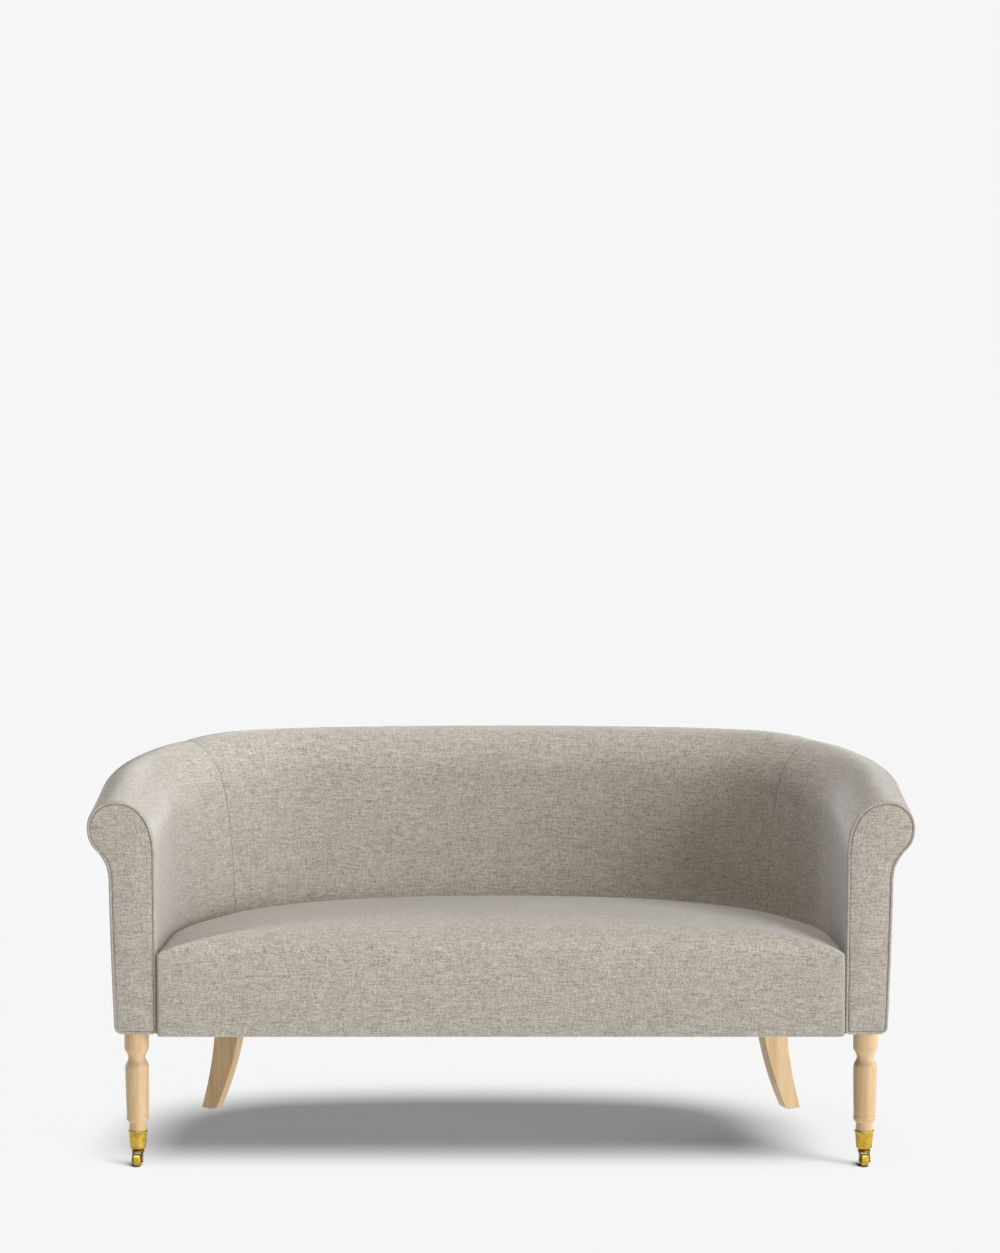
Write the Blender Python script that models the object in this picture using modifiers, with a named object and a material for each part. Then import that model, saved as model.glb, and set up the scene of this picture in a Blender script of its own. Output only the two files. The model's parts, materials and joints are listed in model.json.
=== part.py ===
"""Curved settee: a horseshoe back that sweeps down into rolled arms, one tight sprung seat,
turned front legs on brass swivel casters and sabre rear legs.

Metres, +Z up, +X across the seat, front facing -Y, standing on Z = 0 and centred over the origin.
Plan positions are first worked out as (across, depth), where depth counts back from the arm fronts.
"""
import math

import bmesh
import bpy
from mathutils import Matrix, Vector

OBJECT_NAME = "curved_settee"

# Plan of the wall that arms and back form together, taken along its inner face at seat height
ARM_SPREAD = 0.632                  # middle of the seat to an arm's inner face, at the front
INSIDE_DEPTH = 0.522                # arm fronts to the inner face at the middle of the back
ARM_TOE_IN = math.radians(2.2)      # each arm leans in towards the back by this
CORNER_RADIUS = 0.317
BACK_BOW = math.radians(8.5)        # half of the angle that the long back turns through

# Upright section of the wall
ARM_TOP = 0.6875
BACK_TOP = 0.755
BASE_Z = 0.2547                     # underside of the frame and of the wall covers
ROLL_RADIUS = 0.050
ROLL_OFFSET = 0.070                 # inner face to the roll's centre line
ROLL_END = math.radians(-45.0)      # direction from that line to where the roll's cover ends
SHOULDER_HEIGHT = 0.100             # height of the rounded inner shoulder under the roll's top
SHOULDER_POWER = 2.2
UNDERCUT = 0.030                    # length of the hollow where the roll runs into the outer face
ARM_OUTER_TOP = 0.0805              # inner face to outer face, just under the roll
ARM_OUTER_BASE = 0.0770             # the same at the base
BACK_OUTER_TOP = 0.104
BACK_OUTER_BASE = 0.108
BACK_RAKE = math.radians(6.0)
LEAN_START = 0.394                  # the inner face is plumb below this height
RISE_SHARE = 0.50                   # share of the half wall over which its top climbs
RISE_POWER = 1.2
RAKE_SHARE = 0.90                   # share of the half wall over which it comes to lean
THICKEN_SHARE = 0.42                # share of the half wall over which it thickens
EDGE_ROUND = 0.014                  # rounding of its lower outer edge
CORNER_ROUND = 0.007                # rounding of an arm front's lower inner corner

# Layers and fits
GAP = 0.0003                        # between pieces that touch
COVER = 0.0025                      # cloth with its wadding
PAD = 0.0215                        # stuffing over the frame
PAD_LIFT = 0.0075                   # the inside padding stops this far above the rails
WELT_RADIUS = 0.0020
WELT_INSET = 0.0060                 # welt's centre line in from the edge of the facing
SEAM_TURNED = 0.0004                # cut edges turned under where two covers meet on the roll

# Frame
POST_THICKNESS = 0.024              # scroll board behind each arm facing
LEG_BLOCK_LENGTH = 0.065
RAIL_HEIGHT = 0.0743
SIDE_RAIL_WIDTH = 0.032
CORNER_RAIL_WIDTH = 0.064
BACK_RAIL_WIDTH = 0.045
FRONT_RAIL_DEPTH = 0.028
FRONT_RAIL_SETBACK = 0.005          # arm fronts to the front rail's face
UPRIGHT_WIDTH = 0.028
UPRIGHT_CLEARANCE = 0.0008          # off the covers, for the wall's curve
STRETCHER_WIDTH = 0.045
STRETCHER_DROP = 0.013              # below the top of the rails, clear of the springs
STRETCHER_LIFT = 0.0113             # above the underside of the frame
CORNER_BLOCK_LEG = 0.055
CORNER_BLOCK_DROP = 0.007
CORNER_BLOCK_LIFT = 0.0243

# Seat
SEAT_GAP = 0.0015                   # seat cover to the wall
SEAT_PROUD = 0.012                  # seat front ahead of the arm fronts
SEAT_FRONT_DROP = 0.0019            # the cover's front hem below the underside of the frame
SEAT_TUCK = 0.0102                  # cover's edge above the rails, where it tucks in beside the wall
SEAT_SIDE_RISE = 0.074              # foot of the seat's crown above the rails, at the arms' fronts
SEAT_BACK_RISE = 0.060              # the same at the back
SEAT_FRONT_LIFT = 0.010             # the crown's foot stands this much higher in the middle
SEAT_CROWN = 0.055                  # the crown is a quarter ellipse, this high at its middle
SEAT_CROWN_DEPTH = 0.220            # its highest point behind the arm fronts
SEAT_CORNER = 0.012                 # roundness of its front corners in plan
FOAM_DRAW_IN = 0.006                # foam's sides are drawn in by this at the bottom
INSULATOR = 0.0025
DUST_CLOTH = 0.0012
DUST_CLEARANCE = 0.0012             # round the legs
DUST_MARGIN = 0.010                 # in from the outer covers and the front rail's face

# Springs
SPRING_WIRE = 0.0017                # radius
SPRING_SPACING = 0.130
SPRING_COUNT = 7
SPRING_HALF_WIDTH = 0.020
SPRING_LOOPS = 9
SPRING_HOLD = 0.010                 # length of wire lying on a rail
TIE_WIRE = 0.0012                   # radius
TIE_FRONT_DEPTH = 0.180
TIE_BACK_DEPTH = 0.360
TIE_OVERHANG = 0.010
BURLAP = 0.0015

# Front legs, turned: the heights of the block, cove and shoulder run down from the frame, those of
# the spigot, cavetto and bead run up from the caster cup, and the barrel fills what is left
LEG_OFFSET = 0.0427                 # arm's inner face to the leg's axis
LEG_SETBACK = 0.018                 # front of the leg's block to the leg's axis
LEG_BLOCK_RADIUS = 0.0226
LEG_NECK_RADIUS = 0.0158
LEG_BARREL_RADIUS = 0.0220
LEG_ANKLE_RADIUS = 0.0202
LEG_BEAD_RADIUS = 0.0209
LEG_SPIGOT_RADIUS = 0.0158
LEG_BLOCK_HEIGHT = 0.0350
LEG_COVE_HEIGHT = 0.0200            # block to neck
LEG_SHOULDER_HEIGHT = 0.0175        # neck to barrel
LEG_SPIGOT_HEIGHT = 0.0145
LEG_CAVETTO_HEIGHT = 0.0055         # spigot to bead
LEG_BEAD_HEIGHT = 0.0090

# Rear legs
REAR_LEG_HEADING = math.radians(54.6)    # where round the corner the leg's top sits
REAR_LEG_OFFSET = 0.0718            # wall's inner face to the axis of the leg's top
SABRE_SPLAY = 0.0471                # how far the foot kicks out
SABRE_ANGLE = math.radians(20.0)    # more to the side than to the back
SABRE_PLUMB = 0.0107                # the leg is plumb this far below the frame
SABRE_SWELL = 1.6                   # power by which the leg deepens towards its top
SABRE_FOOT = 0.0312                 # square foot
SABRE_TOP_DEPTH = 0.0570            # the way it kicks
SABRE_TOP_WIDTH = 0.0325
GLIDE_RADIUS = 0.010
GLIDE_HEIGHT = 0.0025

# Bolts that hold the legs
BOLT_RADIUS = 0.004
BOLT_IN_LEG = 0.052
BOLT_IN_FRAME = 0.045
BOLT_CLEARANCE = 0.0003

# Casters
CUP_HEIGHT = 0.0346
CUP_LIP_RADIUS = 0.01875
CUP_LIP_HEIGHT = 0.0020
CUP_TOP_RADIUS = 0.0169
CUP_BASE_RADIUS = 0.0150
CUP_WALL = 0.0022
CUP_FLOOR = 0.0030
PIVOT_RADIUS = 0.0025
PIVOT_HEAD_RADIUS = 0.0050
PIVOT_HEAD_HEIGHT = 0.0018
RIVET_RADIUS = 0.0040
RIVET_TIP_RADIUS = 0.0028
RIVET_HEIGHT = 0.0012
HORN_PLATE_RADIUS = 0.0115
HORN_PLATE_THICKNESS = 0.0042
HORN_HUB_RADIUS = 0.0085
HORN_HUB_HEIGHT = 0.0018
CHEEK_THICKNESS = 0.0034
CHEEK_FRONT = 0.0105                # reach of a cheek's top ahead of the pivot
CHEEK_BACK = 0.0058                 # and behind it
CHEEK_EYE = 0.0048
CHEEK_EYE_START = math.radians(215.0)
CHEEK_EYE_TURN = math.radians(190.0)
WHEEL_RADIUS = 0.0118
WHEEL_WIDTH = 0.0120
WHEEL_TRAIL = 0.0100
WHEEL_EASE = 0.0015                 # rounding of the wheel's rim
AXLE_RADIUS = 0.0020
AXLE_STANDOUT = 0.0022
TRAIL_ANGLE = math.radians(2.0)     # wheel trails forward and this far outward

# Fineness of the curves
STRAIGHT_STEPS = 2
CORNER_STEPS = 8
SIDE_RAIL_STEPS = 2                 # corner steps that the side rail still covers
BACK_STEPS = 3
SHOULDER_STEPS = 5
ROLL_STEPS = 6
UNDERCUT_STEPS = 3
EDGE_STEPS = 3
TURNED_STEPS = 20
LEG_CURVE_STEPS = 4
SABRE_STEPS = 8
CASTER_STEPS = 18
CHEEK_STEPS = 8
WHEEL_STEPS = 20
WHEEL_EASE_STEPS = 2
BOLT_STEPS = 12
SEAT_FRONT_STEPS = 10
SEAT_CORNER_STEPS = 2
SEAT_CROWN_STEPS = 8
WELD = 0.00002                      # points closer than this are one point

FABRIC = (0.47, 0.43, 0.37)
WOOD = (0.67, 0.48, 0.28)
FRAME_WOOD = (0.58, 0.42, 0.26)
BRASS = (0.72, 0.52, 0.16)
STEEL = (0.45, 0.45, 0.46)
FOAM = (0.82, 0.78, 0.66)
FELT = (0.35, 0.33, 0.31)
JUTE = (0.55, 0.42, 0.27)
BLACK_CLOTH = (0.05, 0.05, 0.055)


# Plan of the wall

def solve_plan():
    """Straight length of an arm and radius of the back, so that the wall closes at its middle."""
    sin_a, cos_a = math.sin(ARM_TOE_IN), math.cos(ARM_TOE_IN)
    sin_b, cos_b = math.sin(BACK_BOW), math.cos(BACK_BOW)
    across = ARM_SPREAD - CORNER_RADIUS * (cos_a - sin_b)
    depth = INSIDE_DEPTH - CORNER_RADIUS * (cos_b - sin_a)
    determinant = sin_a * (1.0 - cos_b) - sin_b * cos_a
    straight = (across * (1.0 - cos_b) - sin_b * depth) / determinant
    radius = (sin_a * depth - cos_a * across) / determinant
    return straight, radius


ARM_STRAIGHT, BACK_RADIUS = solve_plan()
CORNER_TURN = math.pi / 2 - BACK_BOW - ARM_TOE_IN
CORNER_LENGTH = CORNER_RADIUS * CORNER_TURN
BACK_LENGTH = BACK_RADIUS * BACK_BOW
HALF_WALL = ARM_STRAIGHT + CORNER_LENGTH + BACK_LENGTH

STATIONS = [ARM_STRAIGHT * i / STRAIGHT_STEPS for i in range(STRAIGHT_STEPS)]
STATIONS += [ARM_STRAIGHT + CORNER_LENGTH * i / CORNER_STEPS for i in range(CORNER_STEPS + 1)]
CORNER_END = ARM_STRAIGHT + CORNER_LENGTH
STATIONS += [CORNER_END + BACK_LENGTH * i / BACK_STEPS for i in range(1, BACK_STEPS + 1)]
SEAM = STRAIGHT_STEPS + CORNER_STEPS // 2           # covers are joined half way round the corner
RAIL_JOINT = STRAIGHT_STEPS + SIDE_RAIL_STEPS       # side rail meets corner rail
CORNER_LAST = STRAIGHT_STEPS + CORNER_STEPS         # corner rail meets back rail
MIDDLE = len(STATIONS) - 1

RAIL_TOP = BASE_Z + RAIL_HEIGHT
PAD_BASE = RAIL_TOP + PAD_LIFT


def plan_at(run):
    """(across, depth, heading) at a distance along the right half of the wall from the arm's front."""
    heading = ARM_TOE_IN
    across = ARM_SPREAD - min(run, ARM_STRAIGHT) * math.sin(heading)
    depth = min(run, ARM_STRAIGHT) * math.cos(heading)
    if run > ARM_STRAIGHT:
        turned = heading + min(run - ARM_STRAIGHT, CORNER_LENGTH) / CORNER_RADIUS
        across -= CORNER_RADIUS * (math.cos(heading) - math.cos(turned))
        depth += CORNER_RADIUS * (math.sin(turned) - math.sin(heading))
        heading = turned
    if run > CORNER_END:
        turned = heading + (run - CORNER_END) / BACK_RADIUS
        across -= BACK_RADIUS * (math.cos(heading) - math.cos(turned))
        depth += BACK_RADIUS * (math.sin(turned) - math.sin(heading))
        heading = turned
    return across, depth, heading


def ease(share):
    share = min(max(share, 0.0), 1.0)
    return share * share * (3.0 - 2.0 * share)


def wall_values(run):
    """Top height, lean, and outer face offsets of the wall at a distance along it."""
    share = run / HALF_WALL
    rise = 1.0 - (1.0 - min(share / RISE_SHARE, 1.0)) ** RISE_POWER
    top = ARM_TOP + (BACK_TOP - ARM_TOP) * rise
    lean = math.tan(BACK_RAKE * ease(share / RAKE_SHARE))
    thick = ease(share / THICKEN_SHARE)
    outer_top = ARM_OUTER_TOP + (BACK_OUTER_TOP - ARM_OUTER_TOP) * thick
    outer_base = ARM_OUTER_BASE + (BACK_OUTER_BASE - ARM_OUTER_BASE) * thick
    return top, lean, outer_top, outer_base


def roll_centre(run):
    top, lean, _, _ = wall_values(run)
    height = top - ROLL_RADIUS
    return ROLL_OFFSET + lean * (height - LEAN_START), height


def inner_offset(run, height, inset):
    """Offset of the inner face or shoulder at a height, that far in from the surface."""
    top, lean, _, _ = wall_values(run)
    shoulder_z = top - SHOULDER_HEIGHT
    face = lean * max(min(height, shoulder_z) - LEAN_START, 0.0)
    if height <= shoulder_z:
        return face + inset
    centre, _ = roll_centre(run)
    level = (height - shoulder_z) / (SHOULDER_HEIGHT - inset)
    return centre - (centre - face - inset) * (1.0 - level ** SHOULDER_POWER) ** (1.0 / SHOULDER_POWER)


def inside_line(run, inset, base=PAD_BASE):
    """Inner face, shoulder and roll as (offset, height), from the base to the roll's underside."""
    top, lean, _, _ = wall_values(run)
    centre, centre_z = roll_centre(run)
    shoulder_z = top - SHOULDER_HEIGHT
    face = lean * (shoulder_z - LEAN_START)
    points = [(inset, base), (inset, LEAN_START), (face + inset, shoulder_z)]
    for i in range(1, SHOULDER_STEPS + 1):
        angle = math.pi / 2 * i / SHOULDER_STEPS
        reach = max(math.cos(angle), 0.0) ** (2.0 / SHOULDER_POWER)
        climb = math.sin(angle) ** (2.0 / SHOULDER_POWER)
        offset = centre - (centre - face - inset) * reach
        points.append((offset, shoulder_z + (SHOULDER_HEIGHT - inset) * climb))
    radius = ROLL_RADIUS - inset
    for i in range(1, ROLL_STEPS + 1):
        angle = math.pi / 2 - (math.pi / 2 - ROLL_END) * i / ROLL_STEPS
        points.append((centre + radius * math.cos(angle), centre_z + radius * math.sin(angle)))
    return points


def edge_arc(run, inset):
    """Rounded lower edge as (offset, height), from the outer face to the underside."""
    middle = wall_values(run)[3] - EDGE_ROUND
    radius = EDGE_ROUND - inset
    angles = [math.pi / 2 * i / EDGE_STEPS for i in range(EDGE_STEPS + 1)]
    return [(middle + radius * math.cos(a), BASE_Z + EDGE_ROUND - radius * math.sin(a)) for a in angles]


def outside_line(run, inset):
    """Hollow under the roll, outer face and lower edge as (offset, height), from the roll down."""
    outer_top = wall_values(run)[2]
    centre, centre_z = roll_centre(run)
    radius = ROLL_RADIUS - inset
    start = (centre + radius * math.cos(ROLL_END) - SEAM_TURNED,
             centre_z + radius * math.sin(ROLL_END) - SEAM_TURNED)
    face = outer_top - inset
    bend = (face, start[1] - (start[0] - face) / math.tan(-ROLL_END))
    end = (face, bend[1] - UNDERCUT)
    points = []
    for i in range(UNDERCUT_STEPS + 1):
        share = i / UNDERCUT_STEPS
        weights = ((1 - share) ** 2, 2 * share * (1 - share), share * share)
        points.append(tuple(sum(w * p[k] for w, p in zip(weights, (start, bend, end))) for k in range(2)))
    return points + edge_arc(run, inset)


def outer_face(run, inset):
    """Top and foot of the straight outer face."""
    return outside_line(run, inset)[UNDERCUT_STEPS:UNDERCUT_STEPS + 2]


def outer_offset(run, height, inset):
    """Offset of the outer face at a height below the hollow, that far in from the surface."""
    top, base = outer_face(run, inset)
    return base[0] + (top[0] - base[0]) * (height - base[1]) / (top[1] - base[1])


def back_reach():
    """Depth of the rearmost point of the roll, at the middle of the back."""
    return INSIDE_DEPTH + roll_centre(HALF_WALL)[0] + ROLL_RADIUS


DEPTH_MIDDLE = (back_reach() - SEAT_PROUD) / 2


def place(across, depth, height):
    return Vector((across, depth - DEPTH_MIDDLE, height))


def on_wall(run, side, offset, height):
    across, depth, heading = plan_at(run)
    return place(side * (across + offset * math.cos(heading)), depth + offset * math.sin(heading), height)


# Scene helpers

def clear_scene():
    for item in list(bpy.data.objects):
        bpy.data.objects.remove(item, do_unlink=True)


def new_collection(name):
    collection = bpy.data.collections.get(name) or bpy.data.collections.new(name)
    if name not in bpy.context.scene.collection.children:
        bpy.context.scene.collection.children.link(collection)
    return collection


clear_scene()
PARTS = new_collection(OBJECT_NAME)
CUTTERS = new_collection(OBJECT_NAME + "_cutters")


def finish(item, colour, roughness, metallic=0.0):
    material = bpy.data.materials.new(item.name)
    material.use_nodes = True
    shader = material.node_tree.nodes["Principled BSDF"]
    shader.inputs["Base Color"].default_value = (*colour, 1.0)
    shader.inputs["Roughness"].default_value = roughness
    shader.inputs["Metallic"].default_value = metallic
    item.data.materials.append(material)
    return item


def add_object(name, data, collection=None):
    item = bpy.data.objects.new(name, data)
    (collection or PARTS).objects.link(item)
    return item


def mesh_object(name, work, collection=None):
    """Close a bmesh into an object, its faces pointing out."""
    bmesh.ops.recalc_face_normals(work, faces=work.faces)
    mesh = bpy.data.meshes.new(name)
    work.to_mesh(mesh)
    work.free()
    return add_object(name, mesh, collection)


def add_loft(work, rings, fan=False):
    """Skin a row of rings with the same number of points, and close both ends."""
    loops = [[work.verts.new(point) for point in ring] for ring in rings]
    count = len(loops[0])
    for first, second in zip(loops, loops[1:]):
        for i in range(count):
            j = (i + 1) % count
            # the way back along a shell is split as the way out, so that nested layers stay parallel
            if i < count // 2:
                split = ((first[i], first[j], second[j]), (first[i], second[j], second[i]))
            else:
                split = ((first[i], first[j], second[i]), (first[j], second[j], second[i]))
            for corners in split:
                work.faces.new(corners)
    for loop in (loops[0], loops[-1]):
        if not fan:
            work.faces.new(loop)
            continue
        tip = work.verts.new(sum((v.co for v in loop), Vector()) / count)
        for i in range(count):
            work.faces.new((loop[i], loop[(i + 1) % count], tip))


def loft(name, rings, fan=False):
    work = bmesh.new()
    add_loft(work, rings, fan)
    return mesh_object(name, work)


def add_box(work, low, high):
    size = [b - a for a, b in zip(low, high)]
    centre = [(a + b) / 2 for a, b in zip(low, high)]
    matrix = Matrix.Translation(centre) @ Matrix.Diagonal((*size, 1.0))
    bmesh.ops.create_cube(work, size=1.0, matrix=matrix)


def add_rod(work, centre, radius, low, high, segments=BOLT_STEPS):
    matrix = Matrix.Translation((centre.x, centre.y, (low + high) / 2))
    bmesh.ops.create_cone(work, cap_ends=True, segments=segments, radius1=radius, radius2=radius,
                          depth=high - low, matrix=matrix)


def turned(name, profile, closed=False, steps=TURNED_STEPS, collection=None):
    """A profile of (radius, height) points, top to bottom, turned about Z."""
    mesh = bpy.data.meshes.new(name)
    edges = [(i, i + 1) for i in range(len(profile) - 1)]
    if closed:
        edges.append((len(profile) - 1, 0))
    mesh.from_pydata([(radius, 0.0, height) for radius, height in profile], edges, [])
    item = add_object(name, mesh, collection)
    screw = item.modifiers.new("turning", "SCREW")
    screw.axis = "Z"
    screw.steps = steps
    screw.render_steps = steps
    screw.use_merge_vertices = True
    screw.merge_threshold = WELD
    return item


def as_cutter(item):
    item.hide_render = True
    item.display_type = "WIRE"
    return item


def cut(item, cutter, operation="DIFFERENCE"):
    modifier = item.modifiers.new("cut_" + cutter.name, "BOOLEAN")
    modifier.operation = operation
    modifier.object = cutter


# Wall pieces

def arm_runs(first, last):
    """Distances along an arm from one to another, with the stations between them."""
    return [first] + [s for s in STATIONS if first < s < last] + [last]


def wall_rings(stops, ring):
    return [[on_wall(run, side, u, z) for u, z in ring(run)] for run, side in stops]


def arm_stops(side, first, last):
    return [(run, side) for run in arm_runs(first, last)]


def back_stops(index, trim=GAP / 2):
    """Right to left round the back, between the same station on both sides."""
    runs = [STATIONS[index] + trim] + STATIONS[index + 1:]
    return [(run, 1) for run in runs] + [(run, -1) for run in reversed(runs[:-1])]


def shell(line, outer, inner):
    return lambda run: line(run, outer) + line(run, inner)[::-1]


FRONT_CLOTH = COVER                                  # facing's thickness at the front of an arm
ARM_COVER_START = FRONT_CLOTH + GAP
POST_START = FRONT_CLOTH + GAP
POST_END = POST_START + POST_THICKNESS
PAD_START = POST_END + GAP
PAD_OUTER = COVER + GAP
PAD_INNER = PAD_OUTER + PAD
FRAME_INSET = PAD_INNER + GAP
SEAM_RUN = STATIONS[SEAM] - GAP / 2


def build_covers_and_pads():
    for side, word in ((1, "right"), (-1, "left")):
        cover_stops = arm_stops(side, ARM_COVER_START, SEAM_RUN)
        pad_stops = arm_stops(side, PAD_START, SEAM_RUN)
        inside = loft(word + "_inside_arm_cover", wall_rings(cover_stops, shell(inside_line, 0.0, COVER)))
        outside = loft(word + "_outside_arm_cover", wall_rings(cover_stops, shell(outside_line, 0.0, COVER)))
        pad = loft(word + "_arm_pad", wall_rings(pad_stops, shell(inside_line, PAD_OUTER, PAD_INNER)))
        finish(inside, FABRIC, 0.95)
        finish(outside, FABRIC, 0.95)
        finish(pad, FOAM, 0.9)
    stops = back_stops(SEAM)
    inside = loft("inside_back_cover", wall_rings(stops, shell(inside_line, 0.0, COVER)))
    outside = loft("outside_back_cover", wall_rings(stops, shell(outside_line, 0.0, COVER)))
    pad = loft("back_pad", wall_rings(stops, shell(inside_line, PAD_OUTER, PAD_INNER)))
    finish(inside, FABRIC, 0.95)
    finish(outside, FABRIC, 0.95)
    finish(pad, FOAM, 0.9)


def arm_rise(run, inset):
    """Outline of an arm's front from its inner face over the roll to the underside."""
    return inside_line(run, inset, BASE_Z + CORNER_ROUND) + outside_line(run, inset)


def arm_face(inset):
    """Closed outline of an arm's front, from the underside round the inner corner and over the roll."""
    radius = CORNER_ROUND - inset
    angles = [math.pi / 2 * i / EDGE_STEPS for i in range(EDGE_STEPS)]
    corner = [(CORNER_ROUND - radius * math.sin(a), BASE_Z + CORNER_ROUND - radius * math.cos(a))
              for a in angles]
    return lambda run: corner + arm_rise(run, inset)


def build_arm_fronts():
    for side, word in ((1, "right"), (-1, "left")):
        facing = loft(word + "_arm_facing", wall_rings([(0.0, side), (FRONT_CLOTH, side)], arm_face(GAP)))
        finish(facing, FABRIC, 0.95)
        post_stops = [(POST_START, side), (POST_END, side)]
        post = loft(word + "_arm_post", wall_rings(post_stops, arm_face(PAD_OUTER)))
        finish(post, FRAME_WOOD, 0.7)
        build_welt(word + "_arm_welt", side)


def build_welt(name, side):
    curve = bpy.data.curves.new(name, "CURVE")
    curve.dimensions = "3D"
    curve.bevel_depth = WELT_RADIUS
    curve.bevel_resolution = 1
    curve.use_fill_caps = True
    points = arm_rise(0.0, WELT_INSET)
    spline = curve.splines.new("POLY")
    spline.points.add(len(points) - 1)
    ahead = Vector((0.0, WELT_RADIUS + GAP, 0.0))
    for target, (offset, height) in zip(spline.points, points):
        target.co = (*(on_wall(0.0, side, offset, height) - ahead), 1.0)
    finish(add_object(name, curve), FABRIC, 0.95)


def octagon(run):
    centre, centre_z = roll_centre(run)
    radius = ROLL_RADIUS - FRAME_INSET
    angles = [math.pi / 4 * i for i in range(8)]
    return [(centre + radius * math.cos(a), centre_z + radius * math.sin(a)) for a in angles]


def lower_edge(run, outer):
    """Rail's lower outer edge, rebated over the outer cover's hem and rounded inside the cover."""
    under = COVER + GAP
    hem = edge_arc(run, under)[-1][0] - GAP
    rounded = [(min(u, outer), z) for u, z in reversed(edge_arc(run, under))]
    return [(hem, BASE_Z), (hem, BASE_Z + under)] + rounded


def rail_section(width):
    """Section against the inside of the outer cover, from the base to the rails' top."""
    def ring(run):
        outer = min(p[0] for p in outer_face(run, COVER + GAP))
        return ([(outer - width, BASE_Z)] + lower_edge(run, outer)
                + [(outer, RAIL_TOP), (outer - width, RAIL_TOP)])
    return ring


def rail_face_depth(across):
    """Depth of the inner face of the back rail or a corner rail, at a distance from the middle."""
    back = (BACK_RAIL_WIDTH, CORNER_LAST, MIDDLE)
    corner = (CORNER_RAIL_WIDTH, RAIL_JOINT, CORNER_LAST)
    for width, first, last in (back, corner):
        corners = []
        for run in STATIONS[first:last + 1]:
            x, depth, heading = plan_at(run)
            offset = rail_section(width)(run)[0][0]
            corners.append((x + offset * math.cos(heading), depth + offset * math.sin(heading)))
        for (x0, d0), (x1, d1) in zip(corners, corners[1:]):
            if x1 <= across <= x0:
                return d0 + (d1 - d0) * (x0 - across) / (x0 - x1)
    return corners[0][1]


def block_section(run):
    outer = outer_face(run, COVER + GAP)[1][0]
    return [(0.0, BASE_Z)] + lower_edge(run, outer) + [(outer, RAIL_TOP), (0.0, RAIL_TOP)]


LEG_BLOCK_START = POST_END + GAP
LEG_BLOCK_END = LEG_BLOCK_START + LEG_BLOCK_LENGTH


def build_rails():
    for side, word in ((1, "right"), (-1, "left")):
        block = loft(word + "_leg_block",
                     wall_rings([(LEG_BLOCK_START, side), (LEG_BLOCK_END, side)], block_section))
        side_stops = arm_stops(side, LEG_BLOCK_END + GAP, STATIONS[RAIL_JOINT] - GAP)
        side_rail = loft(word + "_side_rail", wall_rings(side_stops, rail_section(SIDE_RAIL_WIDTH)))
        corner_stops = arm_stops(side, STATIONS[RAIL_JOINT], STATIONS[CORNER_LAST])
        corner = loft(word + "_corner_rail", wall_rings(corner_stops, rail_section(CORNER_RAIL_WIDTH)))
        top_rail = loft(word + "_arm_top_rail", wall_rings(arm_stops(side, PAD_START, SEAM_RUN), octagon))
        for item in (block, side_rail, corner, top_rail):
            finish(item, FRAME_WOOD, 0.7)
    back = loft("back_rail", wall_rings(back_stops(CORNER_LAST, GAP), rail_section(BACK_RAIL_WIDTH)))
    top = loft("back_top_rail", wall_rings(back_stops(SEAM), octagon))
    finish(back, FRAME_WOOD, 0.7)
    finish(top, FRAME_WOOD, 0.7)


def facet_rings(index, side, ring, width):
    """Two rings a width apart, about the middle of the flat stretch of wall between two stations."""
    first = [on_wall(STATIONS[index], side, u, z) for u, z in ring(STATIONS[index])]
    second = [on_wall(STATIONS[index + 1], side, u, z) for u, z in ring(STATIONS[index + 1])]
    half = width / (STATIONS[index + 1] - STATIONS[index]) / 2
    return [[a + (b - a) * share for a, b in zip(first, second)] for share in (0.5 - half, 0.5 + half)]


def upright_section(rail_width):
    """Board from a rail up to the top rail, inside the padding and the outer cover."""
    def ring(run):
        top, _, outer_top, _ = wall_values(run)
        centre, centre_z = roll_centre(run)
        inset = FRAME_INSET + BURLAP + GAP + UPRIGHT_CLEARANCE
        outer_inset = COVER + GAP + UPRIGHT_CLEARANCE
        foot = RAIL_TOP + GAP
        head = centre_z - ROLL_RADIUS + FRAME_INSET - GAP
        neck = top - SHOULDER_HEIGHT
        # the foot stands behind the ends of the springs, which lie on the same rail
        behind_springs = rail_section(rail_width)(run)[0][0] + SPRING_HOLD + UPRIGHT_CLEARANCE
        points = [(behind_springs, foot)]
        points += [(inner_offset(run, z, inset), z) for z in (LEAN_START, neck, (neck + head) / 2, head)]
        points.append((min(outer_top - outer_inset, centre + (centre_z - head)), head))
        points.append((outer_offset(run, foot, outer_inset), foot))
        return points
    return ring


def build_uprights():
    corner = ("corner_upright", SEAM - 1, CORNER_RAIL_WIDTH)
    back = ("back_upright", CORNER_LAST + 1, BACK_RAIL_WIDTH)
    for word, index, rail_width in (corner, back):
        for side, hand in ((1, "right"), (-1, "left")):
            rings = facet_rings(index, side, upright_section(rail_width), UPRIGHT_WIDTH)
            finish(loft(hand + "_" + word, rings), FRAME_WOOD, 0.7)


def build_burlap():
    """Coarse cloth stretched behind the back padding, from below the seat to the shoulder."""
    def line(run, inset):
        neck = wall_values(run)[0] - SHOULDER_HEIGHT
        return [(inner_offset(run, z, inset), z) for z in (PAD_BASE, LEAN_START, neck)]

    outer = PAD_INNER + GAP
    sheet = loft("back_burlap", wall_rings(back_stops(SEAM), shell(line, outer, outer + BURLAP)))
    finish(sheet, JUTE, 0.95)


# Front of the frame

FRONT_RAIL_BACK = FRONT_RAIL_SETBACK + FRONT_RAIL_DEPTH


def box_part(name, low, high, colour, roughness):
    work = bmesh.new()
    add_box(work, place(*low), place(*high))
    return finish(mesh_object(name, work), colour, roughness)


def block_edge(depth):
    """Distance from the middle to the inner face of a leg block."""
    return ARM_SPREAD - depth * math.tan(ARM_TOE_IN) - GAP


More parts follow.
